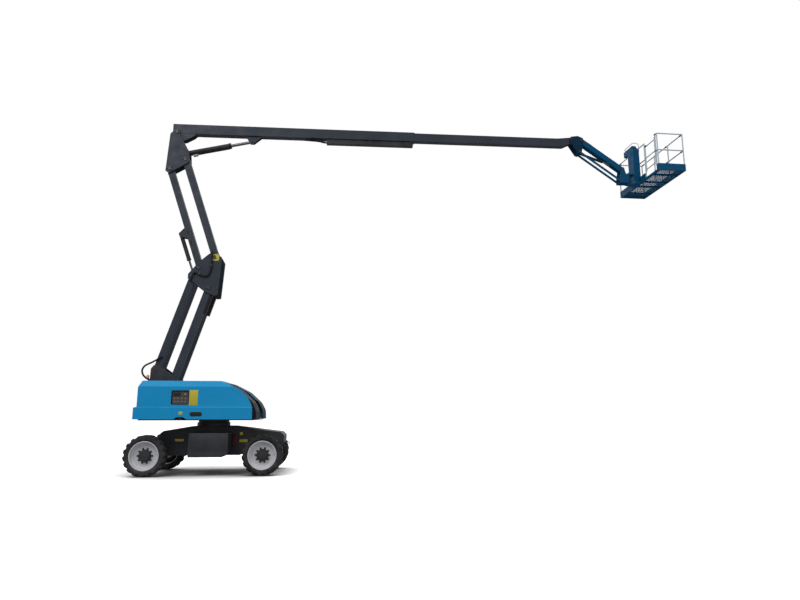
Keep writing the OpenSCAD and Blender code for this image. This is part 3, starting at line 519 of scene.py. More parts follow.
# Side boxes: painted steel boxes between the wheels, each closed by a flat lid on its outer face.
# Two clips hold the lid's top edge and three bolts its foot.
LID_MARGIN = 0.03
LID_FOOT = 0.15
LID_T = 0.004
CLIP_IN = 0.12
CLIP_HALF = 0.03
CLIP_FOOT = 0.075
CLIP_TOP = 0.045
LID_BOLT_IN = 0.06
LID_BOLT_FOOT = 0.18
side_low, side_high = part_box("side_boxes")
SIDE_X0 = side_low[0] - SLEW_X
SIDE_X1 = side_high[0] - SLEW_X
for side, word in SIDES:
    face = side * side_high[1]
    lid = bmesh.new()
    lid_low = (SIDE_X0 + LID_MARGIN, face - LID_T, side_low[2] + LID_FOOT)
    lid_high = (SIDE_X1 - LID_MARGIN, face + LID_T, side_high[2] - LID_MARGIN)
    brick(lid, lid_low, lid_high)
    piece(f"side_box_lid_{word}", lid, side_paint, "chassis", 0.003)
    clips = bmesh.new()
    for x in (SIDE_X0 + CLIP_IN, SIDE_X1 - CLIP_IN):
        clip_low = (x - CLIP_HALF, face - 0.006, side_high[2] - CLIP_FOOT)
        clip_high = (x + CLIP_HALF, face + 0.008, side_high[2] - CLIP_TOP)
        brick(clips, clip_low, clip_high)
    piece(f"side_box_latches_{word}", clips, bolt_steel, "chassis", 0.003)
    spots = []
    for x in (SIDE_X0 + LID_BOLT_IN, (SIDE_X0 + SIDE_X1) / 2, SIDE_X1 - LID_BOLT_IN):
        spots.append(((x, face + side * 0.006, side_low[2] + LID_BOLT_FOOT), (0, side, 0)))
    bolts(f"side_box_bolts_{word}", spots, 0.02, bolt_steel, "chassis")


# Chassis sides: blank yellow patches of film, and dark red hoses next to the side boxes.
# The hoses bulge out from the plate and are held by two steel clamps each.
CHASSIS_FACE = 0.45
PATCH_T = 0.002
CHASSIS_PATCHES = (
    (-0.884, 0.829, -0.663, 0.888),
    (0.761, 0.983, 0.837, 1.056),
    (0.755, 0.8, 0.964, 0.871),
)
RED_HOSE_R = 0.016
RED_HOSE_BULGE = (0.0, 0.035, 0.055, 0.055, 0.035, 0.0)
RED_HOSES = (
    ((0.59, 1.03), (0.6, 0.97), (0.64, 0.9), (0.61, 0.82), (0.62, 0.75), (0.68, 0.71)),
    ((0.66, 1.04), (0.66, 0.99), (0.685, 0.92), (0.66, 0.84), (0.68, 0.77), (0.73, 0.74)),
)
blank_yellow = plain("blank_yellow", linear(158, 146, 36), rough=0.5, grain=60)
red_hose = plain("red_hose", linear(96, 18, 20), rough=0.5, grain=90)
patches = bmesh.new()
for x0, z0, x1, z1 in CHASSIS_PATCHES:
    for side, _ in SIDES:
        y = side * CHASSIS_FACE
        y_out = y + side * PATCH_T
        brick(patches, (x0, min(y, y_out), z0), (x1, max(y, y_out), z1))
piece("chassis_blank_patches", patches, blank_yellow, "chassis", 0.0008)


def flowing(points, steps=6):
    """A smooth line through the points of a hose."""
    points = [Vector(p) for p in points]
    ends = [points[0] * 2 - points[1], *points, points[-1] * 2 - points[-2]]
    path = []
    for before, start, end, after in zip(ends, ends[1:], ends[2:], ends[3:]):
        for i in range(steps):
            t = i / steps
            bend = start * 2 + (end - before) * t
            bend += (before * 2 - start * 5 + end * 4 - after) * t ** 2
            bend += (start * 3 - before - end * 3 + after) * t ** 3
            path.append(bend / 2)
    path.append(points[-1])
    return path


def hose(name, points, radius, body, material, clamps=()):
    """Hose through points, with a steel clamp round it at some of them."""
    shape = bmesh.new()
    tube(shape, flowing(points), radius, 14)
    made = piece(name, shape, material, body, crease=50)
    if clamps:
        bands = bmesh.new()
        for k in clamps:
            middle = Vector(points[k])
            ahead = Vector(points[min(k + 1, len(points) - 1)]) - Vector(points[max(k - 1, 0)])
            half = ahead.normalized() * radius * 0.6
            tube(bands, [middle - half, middle + half], radius * 1.18, 16)
        piece(f"{name}_clamps", bands, bolt_steel, body, 0.001)
    return made


for k, line in enumerate(RED_HOSES):
    for side, word in SIDES:
        points = [(x, side * (CHASSIS_FACE + out), z) for (x, z), out in zip(line, RED_HOSE_BULGE)]
        hose(f"red_hose_{k}_{word}", points, RED_HOSE_R, "chassis", red_hose, (1, 4))


# Wheels: pneumatic tyres with two rows of chunky lugs, on dished steel rims painted grey.
# Each rim is held to a black planetary hub by a ring of nuts; the hub's cover has its own bolts.
# A lug is up at some of the steps round its pitch, which differ between the two rows.
LUGS = 18
LUG_HEIGHT = 0.03
LUG_LEAN = math.radians(10.95)
LUG_STEPS = (0.0, 0.025, 0.23, 0.435, 0.46, 0.5, 0.525, 0.73, 0.935, 0.96)
FIRST_ROW_UP = (1, 2, 3)
SECOND_ROW_UP = (6, 7, 8)
WHEEL_Y = 1.0225
HALF_TYRE = 0.1775
TYRE_R = 0.5075
AXLE_X = 1.435
# Half of the tyre's section from the bead to the middle: radius, place across, share of a lug's height
TYRE_SECTION = (
    (0.3462, 0.78, 0), (0.360, 0.86, 0), (0.376, 0.935, 0), (0.394, 0.982, 0), (0.404, 0.996, 0),
    (0.407, 1.012, 0), (0.412, 1.012, 0), (0.415, 1.0, 0), (0.44, 1.0, 0.15), (0.4595, 0.995, 0.9),
    (0.484, 0.955, 1), (0.498, 0.905, 1), (0.5055, 0.845, 1), (0.5075, 0.7, 1), (0.5072, 0.4, 1),
    (0.505, 0.13, 1), (0.5, 0.075, 0.8), (0.486, 0.03, 0),
)
# Turned pieces, from the axle out and back: radius and distance out from the wheel's middle
RIM_PROFILE = (
    (0, -0.057), (0.262, -0.057), (0.275, -0.05), (0.331, -0.01), (0.331, -0.13), (0.34, -0.15),
    (0.352, -0.153), (0.358, -0.147), (0.354, -0.14), (0.3455, -0.137), (0.3455, 0.137), (0.354, 0.14),
    (0.361, 0.145), (0.36, 0.152), (0.35, 0.156), (0.337, 0.152), (0.331, 0.14), (0.327, 0.088),
    (0.321, 0.07), (0.29, 0.06), (0.279, 0.056), (0.2735, 0.048), (0.2715, 0.036), (0.262, 0.029),
    (0.2, 0.024), (0.15, 0.022), (0, 0.022),
)
HUB_PROFILE = (
    (0, 0.01), (0.152, 0.01), (0.155, 0.026), (0.15, 0.03), (0.145, 0.036), (0.141, 0.098),
    (0.137, 0.106), (0.121, 0.108), (0.117, 0.112), (0.108, 0.126), (0.1, 0.131), (0.045, 0.132),
    (0.04, 0.138), (0.03, 0.141), (0, 0.141),
)
# Thin black skin over the rim's back: painted shade on the side of the rim that faces the machine
BACK_SHADE_PROFILE = (
    (0.2, -0.058), (0.262, -0.058), (0.2755, -0.051), (0.3295, -0.0125), (0.3295, -0.128),
    (0.3275, -0.128), (0.3275, -0.0145), (0.2745, -0.053), (0.2615, -0.06), (0.2, -0.06), (0.2, -0.058),
)
NUTS = 10
NUT_RING = 0.175
NUT_OUT = 0.034
COVER_BOLTS = 8
COVER_RING = 0.129
COVER_OUT = 0.111
VALVE_R = 0.006
VALVE_UP = 0.03
VALVE_STEM = ((0.3, 0.06), (0.295, 0.11))
tyre_rubber = painted("tyre_rubber", linear(17, 17, 19), rough=0.75, shine=0.1, dust=0.3)
rim_paint = painted("rim_paint", linear(166, 167, 172), rough=0.4, shine=0.3, dust=0.25)
hub_paint = painted("hub_paint", linear(14, 15, 18), dust=0.15)


def tyre_shape(x, side):
    """Lugged tyre round its axle: one row of lugs stands half a pitch behind the other."""
    shape = bmesh.new()
    across = [(radius, -place, lug) for radius, place, lug in TYRE_SECTION]
    across += list(reversed(TYRE_SECTION))
    rows = []
    for k in range(LUGS):
        for step, share in enumerate(LUG_STEPS):
            row = []
            for radius, place, lug in across:
                up = step in (FIRST_ROW_UP if place < 0 else SECOND_ROW_UP)
                r = radius if up else radius - lug * LUG_HEIGHT
                turn = (k + share) * math.tau / LUGS - LUG_LEAN * abs(place)
                y = side * (WHEEL_Y + place * HALF_TYRE)
                row.append(shape.verts.new((x + r * math.cos(turn), y, TYRE_R + r * math.sin(turn))))
            rows.append(row)
    for i, row in enumerate(rows):
        ahead = rows[(i + 1) % len(rows)]
        for j in range(len(row)):
            k = (j + 1) % len(row)
            shape.faces.new((row[j], row[k], ahead[k], ahead[j]))
    return shape


def spun(profile, middle, axis, steps):
    """A turned shape by itself."""
    shape = bmesh.new()
    lathe(shape, profile, middle, axis, steps)
    return shape


def wheel_ring(x, side, count, radius, out, start=0.0):
    """Bolt spots in a ring round a wheel's axle, on its outer side."""
    spots = []
    for i in range(count):
        angle = (i + start) * math.tau / count
        spot = (x + radius * math.cos(angle), side * (WHEEL_Y + out), TYRE_R + radius * math.sin(angle))
        spots.append((spot, (0, side, 0)))
    return spots


for end, x in (("front", -AXLE_X), ("rear", AXLE_X)):
    for side, word in SIDES:
        place = f"{end}_{word}"
        body = f"wheel_{place}"
        outward = (0, side, 0)
        middle = (x, side * WHEEL_Y, TYRE_R)
        shape = tyre_shape(x, side)
        tyre = piece(f"lug_tyre_{place}", shape, tyre_rubber, body, crease=28)
        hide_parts(f"tyre_{place}")
        shape = spun(RIM_PROFILE, middle, outward, 72)
        rim = piece(f"dished_rim_{place}", shape, rim_paint, body, crease=30)
        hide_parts(f"rim_{place}")
        piece(f"planet_hub_{place}", spun(HUB_PROFILE, middle, outward, 48), hub_paint, body, crease=30)
        # Painted shade: a thin black skin over the back of each rim.
        piece(f"rim_back_shade_{place}", spun(BACK_SHADE_PROFILE, middle, outward, 48), hub_paint, body, crease=30)
        nut_spots = wheel_ring(x, side, NUTS, NUT_RING, NUT_OUT)
        bolts(f"wheel_nuts_{place}", nut_spots, 0.036, hub_paint, body)
        cover_spots = wheel_ring(x, side, COVER_BOLTS, COVER_RING, COVER_OUT, 0.5)
        bolts(f"hub_cover_bolts_{place}", cover_spots, 0.016, bolt_steel, body)
        stem = bmesh.new()
        tube(stem, [(x + a, side * (WHEEL_Y + out), TYRE_R + VALVE_UP) for a, out in VALVE_STEM], VALVE_R, 8)
        piece(f"tyre_valve_{place}", stem, bolt_steel, body)


# Turntable: black welded deck with two tower plates that hold the riser's pins.
# The cast counterweight fills the tail and the batteries stand under the hoods.
frame_paint = painted("turntable_paint", linear(22, 25, 31), dust=0.08)
cast_paint = painted("cast_weight", linear(26, 29, 34), rough=0.6, peel=0.5)
pack_plastic = painted("pack_plastic", linear(34, 36, 40), rough=0.55)
finish(["turntable_frame"], frame_paint, 0.004)
finish(["counterweight"], cast_paint, 0.012)
finish(["battery_packs"], pack_plastic, 0.008)


# Beacon: an amber plastic lens with a domed top, on a short black base.
# It stands on the turntable and turns with it.
BEACON_BASE = ((0, 0), (0.039, 0), (0.04, 0.006), (0.04, 0.02), (0.037, 0.026), (0, 0.026))
BEACON_LENS = (
    (0, 0.026), (0.035, 0.026), (0.0345, 0.06), (0.032, 0.095), (0.026, 0.107), (0.014, 0.113), (0, 0.114),
)
beacon_low, beacon_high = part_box("beacon")
beacon_x = (beacon_low[0] + beacon_high[0]) / 2 - SLEW_X
beacon_foot = (beacon_x, (beacon_low[1] + beacon_high[1]) / 2, beacon_low[2])
amber = plain("amber_lens", linear(226, 112, 14), rough=0.18, shine=0.5, grain=80)
shape = spun(BEACON_LENS, beacon_foot, (0, 0, 1), 32)
lens = piece("beacon_lens", shape, amber, "turntable", crease=40)
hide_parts("beacon")
piece("beacon_base", spun(BEACON_BASE, beacon_foot, (0, 0, 1), 32), black_paint, "turntable", crease=40)


# Ground controls: a dark plastic box behind the near hood's window.
# Its face has a small screen, a large knob and two rows of switches.
SCREEN_IN = 0.03
SCREEN_X = 0.2
SCREEN_Z = 0.13
PANEL_ROWS = 2
ROW_TOP = 0.19
ROW_STEP = 0.08
PANEL_SWITCHES = 4
SWITCH_IN = 0.06
SWITCH_STEP = 0.09
KNOB_IN = 0.08
SWITCH = ((0, 0), (0.017, 0), (0.015, 0.012), (0.008, 0.014), (0.006, 0.03), (0, 0.032))
KNOB = ((0, 0), (0.03, 0), (0.028, 0.012), (0.02, 0.03), (0, 0.034))
panel_low, panel_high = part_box("ground_control")
panel_x0 = panel_low[0] - SLEW_X
panel_x1 = panel_high[0] - SLEW_X
panel_y = panel_low[1]
panel_top = panel_high[2]
control_plastic = painted("control_plastic", linear(58, 54, 50), rough=0.5, dust=0.02)
finish(["ground_control"], control_plastic, 0.006)
dial_black = plain("dial_black", linear(16, 16, 18), rough=0.35, grain=80)
knob_grey = plain("knob_grey", linear(120, 116, 110), rough=0.45, grain=80)
screen = bmesh.new()
screen_low = (panel_x0 + SCREEN_IN, panel_y - 0.006, panel_top - SCREEN_Z)
screen_high = (panel_x0 + SCREEN_X, panel_y + 0.002, panel_top - SCREEN_IN)
brick(screen, screen_low, screen_high)
piece("ground_control_screen", screen, dial_black, "turntable", 0.003)
switches = bmesh.new()
for row in range(PANEL_ROWS):
    for k in range(PANEL_SWITCHES):
        spot = (panel_x0 + SWITCH_IN + k * SWITCH_STEP, panel_y, panel_top - ROW_TOP - row * ROW_STEP)
        lathe(switches, SWITCH, spot, (0, -1, 0), 16)
lathe(switches, KNOB, (panel_x1 - KNOB_IN, panel_y, panel_top - KNOB_IN), (0, -1, 0), 24)
piece("ground_control_switches", switches, knob_grey, "turntable", crease=40)


# Hoods: moulded blue covers hinged along their inner top edge, each with a black cover over its nose.
# A ledge runs round the skirt; the near one has a window to the ground controls and a recessed latch.
# Their corners are well rounded, as moulded plastic is, and blank yellow patches mark the near side.
HOOD_SIDE = 1.17
HOOD_TUCK = 0.03
HOOD_FOOT = 1.397
HOOD_INNER = 0.4
HOOD_MIDDLE = (-0.35, 0.75, 1.8)
HOOD_FOLD = math.radians(8)
HOOD_SLIVER = 0.012
HOOD_ROUND = 0.028
LEDGE_WIDTH = 0.06
LEDGE_ROUND = 0.011
SLOPE_ROUND = 0.1
SLOPE_START = 0.3
SLOPE_FOOT = HOOD_FOOT + 0.05
SLOPE_WIDTH = 0.3
NOSE_SEAM = ((1.144, 1.39), (1.14, 1.66), (1.1, 1.8), (1.02, 1.945))
NOSE_TURN = 0.33
NOSE_START = 0.34
SEAM_SLACK = 0.0001
hood_blue = painted(
    "hood_blue", linear(0, 114, 160), rough=0.4, shine=0.14, coat=0.06, dust=0.0, fade=0.01, peel=0.05
)
nose_black = painted("nose_black", linear(9, 11, 15), rough=0.55, shine=0.08, dust=0.0, fade=0.0, wear=0.1)


def cad_shape(name):
    """A CAD node's mesh, joined at its seams and without the lines that split flat faces."""
    shape = bmesh.new()
    shape.from_mesh(nodes[name].data)
    from_slew = Matrix.Translation((-SLEW_X, 0, 0)) @ nodes[name].matrix_world
    bmesh.ops.transform(shape, matrix=from_slew, verts=shape.verts)
    bmesh.ops.remove_doubles(shape, verts=shape.verts, dist=WELD_STEP)
    bmesh.ops.dissolve_limit(shape, angle_limit=FLAT_ANGLE, verts=shape.verts, edges=shape.edges)
    bmesh.ops.recalc_face_normals(shape, faces=shape.faces)
    return shape


def before_seam(face):
    """Whether a face of a hood belongs to the black cover in front of the seam."""
    spot = face.calc_center_median()
    if face.normal.x > NOSE_TURN and spot.x > NOSE_START:
        return True
    for low, high in zip(NOSE_SEAM, NOSE_SEAM[1:]):
        if low[1] - SEAM_SLACK <= spot.z <= high[1] + SEAM_SLACK:
            share = (spot.z - low[1]) / (high[1] - low[1])
            return spot.x > low[0] + (high[0] - low[0]) * share
    return False


def narrow(face):
    """Width of a face that is much longer than wide."""
    return face.calc_area() / max(e.calc_length() for e in face.edges)


def outer_fold(edge):
    """Whether two faces meet at an edge as an outer corner."""
    return len(edge.link_faces) == 2 and edge.calc_face_angle_signed() > HOOD_FOLD


def slope_folds(shape):
    """Edges across the hood where its top bends down to the nose."""
    folds = []
    for edge in shape.edges:
        first, second = (v.co for v in edge.verts)
        lies_across = abs(first.y - second.y) > 0.9 * edge.calc_length() > SLOPE_WIDTH
        in_front = min(first.x, second.x) > SLOPE_START and min(first.z, second.z) > SLOPE_FOOT
        upward = all(face.normal.x + face.normal.z > 0 for face in edge.link_faces)
        if lies_across and in_front and upward and outer_fold(edge):
            folds.append(edge)
    return folds


def shell_folds(shape, middle):
    """Outer edges of a hood, those of broad faces first and then those of the ledge."""
    broad = []
    ledge = []
    for edge in shape.edges:
        if not outer_fold(edge) or edge.calc_length() < HOOD_SLIVER:
            continue
        spot = (edge.verts[0].co + edge.verts[1].co) / 2
        width = min(narrow(face) for face in edge.link_faces)
        outward = all(face.normal.dot(face.calc_center_median() - middle) > 0.02 for face in edge.link_faces)
        if outward and spot.z >= HOOD_FOOT + 0.01 and abs(spot.y) >= HOOD_INNER and width >= HOOD_SLIVER:
            (ledge if width < LEDGE_WIDTH else broad).append(edge)
    return broad, ledge


for side, word in SIDES:
    node = f"hood_{word}"
    middle = Vector((HOOD_MIDDLE[0], side * HOOD_MIDDLE[1], HOOD_MIDDLE[2]))
    shape = cad_shape(node)
    soften(shape, slope_folds(shape), SLOPE_ROUND, 6)
    broad, ledge = shell_folds(shape, middle)
    soften(shape, broad, HOOD_ROUND, 5)
    soften(shape, [edge for edge in ledge if edge.is_valid], LEDGE_ROUND, 3)
    for low, high in zip(NOSE_SEAM, NOSE_SEAM[1:]):
        across = Vector((high[1] - low[1], 0, low[0] - high[0]))
        geom = list(shape.verts) + list(shape.edges) + list(shape.faces)
        spot = (low[0], 0, low[1])
        bmesh.ops.bisect_plane(shape, geom=geom, dist=SEAM_SLACK, plane_co=spot, plane_no=across)
    cover = shape.copy()
    bmesh.ops.delete(cover, geom=[f for f in cover.faces if not before_seam(f)], context="FACES")
    bmesh.ops.delete(shape, geom=[f for f in shape.faces if before_seam(f)], context="FACES")
    hood = piece(f"moulded_hood_{word}", shape, hood_blue, node, crease=26)
    nose = piece(f"nose_cover_{word}", cover, nose_black, node, crease=26)
    even = hood.modifiers.new("even", "WEIGHTED_NORMAL")
    even.keep_sharp = True
    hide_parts(node)
    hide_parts(node)

WINDOW = (-0.874, 1.767, -0.448, 2.114)
SEAL_R = 0.009
SEAL_GAP = 0.001
HOOD_WALL = -HOOD_SIDE + HOOD_TUCK
window_seal = plain("window_seal", linear(14, 14, 16), rough=0.6, grain=90)
seal = bmesh.new()
x0, z0, x1, z1 = WINDOW
mid_x = (x0 + x1) / 2
seal_turns = ((mid_x, z0), (x1, z0), (x1, z1), (x0, z1), (x0, z0), (mid_x - SEAL_GAP, z0))
tube(seal, rounded_path([(x, HOOD_WALL + 0.004, z) for x, z in seal_turns], 0.03), SEAL_R, 8)
piece("hood_window_seal", seal, window_seal, "hood_near")

HOOD_PATCHES = (
    (-0.434, 1.741, -0.225, 2.127, HOOD_WALL),
    (-0.665, 1.515, -0.575, 1.59, -HOOD_SIDE),
)
patches = bmesh.new()
for x0, z0, x1, z1, y in HOOD_PATCHES:
    brick(patches, (x0, y - 0.0015, z0), (x1, y + 0.001, z1))
piece("hood_blank_patches", patches, blank_yellow, "hood_near", 0.0008)

LATCH_X = -0.244
LATCH_Z = 1.524
LATCH_HALF = 0.1
LATCH_R = 0.055
LATCH_STEPS = 24
HANDLE_LONG = 0.72
HANDLE_HIGH = 0.5
latch_outline = []
for start, end_x in ((-math.pi / 2, LATCH_HALF), (math.pi / 2, -LATCH_HALF)):
    for i in range(LATCH_STEPS + 1):
        angle = start + i * math.pi / LATCH_STEPS
        latch_outline.append((end_x + LATCH_R * math.cos(angle), LATCH_R * math.sin(angle)))
cup = bmesh.new()
cup_outline = [(LATCH_X + x, LATCH_Z + z) for x, z in latch_outline]
prism(cup, cup_outline, -HOOD_SIDE - 0.003, -HOOD_SIDE + 0.001)
piece("hood_latch_cup", cup, window_seal, "hood_near", 0.001)
handle = bmesh.new()
handle_outline = [(LATCH_X + x * HANDLE_LONG, LATCH_Z + z * HANDLE_HIGH) for x, z in latch_outline]
prism(handle, handle_outline, -HOOD_SIDE - 0.008, -HOOD_SIDE)
piece("hood_latch_handle", handle, dial_black, "hood_near", 0.003)


# Riser: two parallelogram stages of dark grey box tube, one above the other, joined by a knuckle.
# The lower stage is a pair of tubes on each side; the upper stage runs between the upright's plates.
# Pins are kept from turning by small plates, each held by two bolts.
boom_paint = painted("boom_paint", linear(33, 38, 47), rough=0.5, shine=0.12, dust=0.0, fade=0.03)
cylinder_paint = painted("cylinder_paint", linear(9, 10, 14), dust=0.0, shine=0.12)
rod_chrome = plain("rod_chrome", linear(88, 91, 96), rough=0.3, shine=0.5, metal=0.85, grain=14)
pin_steel = plain("pin_steel", linear(48, 51, 57), rough=0.45, shine=0.3, metal=0.3)
finish(["lower_arm", "lower_link", "upper_arm", "upper_link"], boom_paint, 0.008, 3)
finish(["riser_knuckle", "boom_upright"], boom_paint, 0.004)
finish(["riser_barrel"], cylinder_paint, 0.003)
finish(["riser_rod"], rod_chrome, 0.002)

LOWER_ARM_BASE = Vector((-1.083, 0, 2.371))
LOWER_ARM_TOP = Vector((-0.294, 0, 4.953))
LOWER_LINK_TOP = Vector((-0.744, 0, 5.263))
UPPER_LINK_BASE = Vector((-0.59, 0, 5.51))
UPPER_ARM_BASE = Vector((-0.175, 0, 5.815))
UPPER_LINK_TOP = Vector((-1.599, 0, 8.441))
UPPER_ARM_TOP = Vector((-1.184, 0, 8.746))
BOOM_PIVOT = Vector((-1.469, 0, 9.581))
KNUCKLE_PINS = (LOWER_ARM_TOP, LOWER_LINK_TOP, UPPER_LINK_BASE, UPPER_ARM_BASE)
UPRIGHT_PINS = (UPPER_LINK_TOP, UPPER_ARM_TOP, BOOM_PIVOT)
KNUCKLE_FACE = 0.32
UPRIGHT_FACE = 0.16
PIN_R = 0.042
PIN_STAND = 0.016
PIN_CHAMFER = 0.004
PIN_END = (
    (0, 0), (PIN_R, 0), (PIN_R, PIN_STAND - PIN_CHAMFER), (PIN_R - PIN_CHAMFER, PIN_STAND), (0, PIN_STAND),
)
KEEPER_T = 0.008
KEEPER_OUT = PIN_R * 0.95
KEEPER_LONG = PIN_R * 1.25
KEEPER_WIDE = PIN_R * 0.28
KEEPER_BOLT = PIN_R * 0.9


def keepers(name, spots, face, lean):
    """A keeper plate across each pin's end on both faces of a plate pair, with two bolts each."""
    plates = bmesh.new()
    caps = bmesh.new()
    heads = []
    reach = Vector((math.cos(lean), 0, math.sin(lean)))
    across = Vector((-math.sin(lean), 0, math.cos(lean)))
    for place in spots:
        for side, _ in SIDES:
            y = side * face
            lathe(caps, PIN_END, (place.x, y, place.z), (0, side, 0), 28)
            middle = place + reach * KEEPER_OUT
            corners = [middle + across * a * KEEPER_LONG + reach * b * KEEPER_WIDE for a, b in CORNERS]
            y_out = side * (face + PIN_STAND + KEEPER_T)
            prism(plates, [(c.x, c.z) for c in corners], min(y, y_out), max(y, y_out))
            for a in (-KEEPER_BOLT, KEEPER_BOLT):
                spot = middle + across * a
                heads.append(((spot.x, y_out, spot.z), (0, side, 0)))
    piece(f"{name}_pin_ends", caps, pin_steel, name, crease=30)
    piece(f"{name}_keepers", plates, pin_steel, name, 0.002)
    bolts(f"{name}_keeper_bolts", heads, 0.018, bolt_steel, name)


keepers("knuckle", KNUCKLE_PINS, KNUCKLE_FACE, 2.4)
keepers("upright", UPRIGHT_PINS, UPRIGHT_FACE, 2.0)


# Riser hoses: black rubber hydraulic hoses that leave the tower in a loop and cross the knuckle.
# The loop stands fixed and moves with no body; the other one is held to the knuckle by two clamps.
HOSE_R = 0.024
TOWER_HOSE_Y = -0.3
TOWER_HOSE = (
    (-1.4, 3.05), (-1.52, 2.965), (-1.655, 2.885), (-1.82, 2.798),
    (-1.888, 2.675), (-1.846, 2.54), (-1.726, 2.44), (-1.62, 2.38),
)
KNUCKLE_HOSE_Y = -0.345
KNUCKLE_HOSE = (
    (-0.79, 5.15), (-0.7, 5.36), (-0.566, 5.328), (-0.44, 5.275), (-0.34, 5.292),
    (-0.28, 5.38), (-0.25, 5.586), (-0.241, 5.78), (-0.243, 5.97),
)
hose_rubber = plain("hose_rubber", linear(15, 15, 17), rough=0.6, shine=0.2, grain=90)
tower_points = [(x, TOWER_HOSE_Y, z) for x, z in TOWER_HOSE]
tower_hose = hose("tower_hose", tower_points, HOSE_R, None, hose_rubber)
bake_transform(tower_hose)
knuckle_points = [(x, KNUCKLE_HOSE_Y, z) for x, z in KNUCKLE_HOSE]
hose("knuckle_hose", knuckle_points, HOSE_R, "knuckle", hose_rubber, (2, 6))


# Riser trim: black rubber rest pads on the lower arms, under the knuckle, and painted shade in the slots
# along the upper link's sides, drawn as thin dark plates. A blank yellow patch of film marks the knuckle's
# top corner.
KNUCKLE_PATCH = ((-0.225, 5.72), (-0.06, 5.73), (-0.045, 5.86), (-0.1, 5.925), (-0.225, 5.9))
KNUCKLE_PATCH_Y = (-0.3115, -0.3095)
REST_ALONG = (1.998, 2.562)
REST_DEPTH = (-0.172, -0.09)
REST_WIDTH = 0.094
REST_Y = 0.22
SLOT_STATIONS = (0.52, 0.83, 1.14)
SLOT_HALF = 0.06
SLOT_DEPTH = (0.02, 0.045)
SLOT_T = 0.003
SLOT_Y = 0.101
rest_rubber = plain("rest_rubber", linear(16, 17, 20), rough=0.7, shine=0.15)
knuckle_patch = bmesh.new()
prism(knuckle_patch, KNUCKLE_PATCH, *KNUCKLE_PATCH_Y)
piece("knuckle_blank_patch", knuckle_patch, blank_yellow, "knuckle", 0.0006)


def member_box(shape, start, end, along, depth, width, side_y):
    """Block lying on a member: distances along it, offsets across it in side view, and its middle in y."""
    run = (end - start).normalized()
    up = Vector((-run.z, 0, run.x))
    corners = []
    for a, d in ((0, 0), (1, 0), (1, 1), (0, 1)):
        corners.append(start + run * along[a] + up * depth[d])
    prism(shape, [(c.x, c.z) for c in corners], side_y - width / 2, side_y + width / 2)


pads = bmesh.new()
for side, _ in SIDES:
    member_box(pads, LOWER_ARM_BASE, LOWER_ARM_TOP, REST_ALONG, REST_DEPTH, REST_WIDTH, side * REST_Y)
piece("riser_rest_pads", pads, rest_rubber, "lower_arm", 0.006)
# Painted shade: thin dark plates on the upper link's faces stand for the shade inside its slots.
slots = bmesh.new()
for station in SLOT_STATIONS:
    along = (station - SLOT_HALF, station + SLOT_HALF)
    for side, _ in SIDES:
        member_box(slots, UPPER_LINK_BASE, UPPER_LINK_TOP, along, SLOT_DEPTH, SLOT_T, side * SLOT_Y)
piece("upper_link_slot_shade", slots, rest_rubber, "upper_link", 0.002)


# Boom: a box-section main boom on the upright's pin, with a fly section that slides out of its mouth.
# Wear pads are held round the mouth by two rows of bolts on its sides and top.
finish(["main_boom", "fly_boom"], boom_paint, 0.008, 3)
finish(["boom_barrel"], cylinder_paint, 0.003)
finish(["boom_rod"], rod_chrome, 0.002)

BOOM_LEAN = math.radians(0.8)
BOOM_RUN = Vector((math.cos(BOOM_LEAN), 0, math.sin(BOOM_LEAN)))
BOOM_UP = Vector((-math.sin(BOOM_LEAN), 0, math.cos(BOOM_LEAN)))
BOOM_SIDE = 0.115
BOOM_LOW = -0.02
BOOM_TOP = 0.265
BOOM_FRONT = 6.96
PAD_BOLT_ROWS = (BOOM_FRONT - 0.045, BOOM_FRONT - 0.115)
PAD_BOLT_UPS = (BOOM_LOW + 0.04, 0.09, 0.16, BOOM_TOP - 0.04)
PAD_BOLT_YS = (-0.06, 0.0, 0.06)
PAD_BOLT_LIFT = 0.002


def on_boom(along, up, y=0.0):
    """Place measured along and across the boom from its pivot."""
    place = BOOM_PIVOT + BOOM_RUN * along + BOOM_UP * up
    return Vector((place.x, y, place.z))


pad_spots = []
for side, _ in SIDES:
    for along in PAD_BOLT_ROWS:
        for up in PAD_BOLT_UPS:
            pad_spots.append((on_boom(along, up, side * (BOOM_SIDE + PAD_BOLT_LIFT)), (0, side, 0)))
for along in PAD_BOLT_ROWS:
    for y in PAD_BOLT_YS:
        pad_spots.append((on_boom(along, BOOM_TOP + PAD_BOLT_LIFT, y), BOOM_UP))
bolts("boom_mouth_bolts", pad_spots, 0.024, bolt_steel, "main_boom")


# Hose tray: a black tray hung under the boom by three pairs of bolted straps.
# Four hoses come down from the boom and lie in it side by side.
TRAY_BACK = 4.31
TRAY_FRONT = 6.91
TRAY_DROP = 0.145
STRAPS = (TRAY_BACK + 0.2, (TRAY_BACK + TRAY_FRONT) / 2, TRAY_FRONT - 0.2)
STRAP_HALF = 0.03
STRAP_T = 0.005
STRAP_Y = 0.0775
STRAP_TOP = BOOM_LOW - 0.002
STRAP_BOLT_UP = BOOM_LOW - 0.04
STRAP_BOLT_Y = 0.081
TRAY_HOSES = (-0.045, -0.015, 0.015, 0.045)
TRAY_HOSE_R = 0.013
tray_black = painted("tray_black", linear(19, 21, 25), dust=0.0)
finish(["hose_tray"], tray_black, 0.003)
straps = bmesh.new()
strap_spots = []
for along in STRAPS:
    corners = [on_boom(along + a, -TRAY_DROP) for a in (-STRAP_HALF, STRAP_HALF)]
    corners += [on_boom(along + a, STRAP_TOP) for a in (STRAP_HALF, -STRAP_HALF)]
    for side, _ in SIDES:
        y = side * STRAP_Y
        prism(straps, [(c.x, c.z) for c in corners], y - STRAP_T / 2, y + STRAP_T / 2)
        strap_spots.append((on_boom(along, STRAP_BOLT_UP, side * STRAP_BOLT_Y), (0, side, 0)))
piece("tray_straps", straps, boom_paint, "main_boom", 0.001)
bolts("tray_strap_bolts", strap_spots, 0.016, bolt_steel, "main_boom")
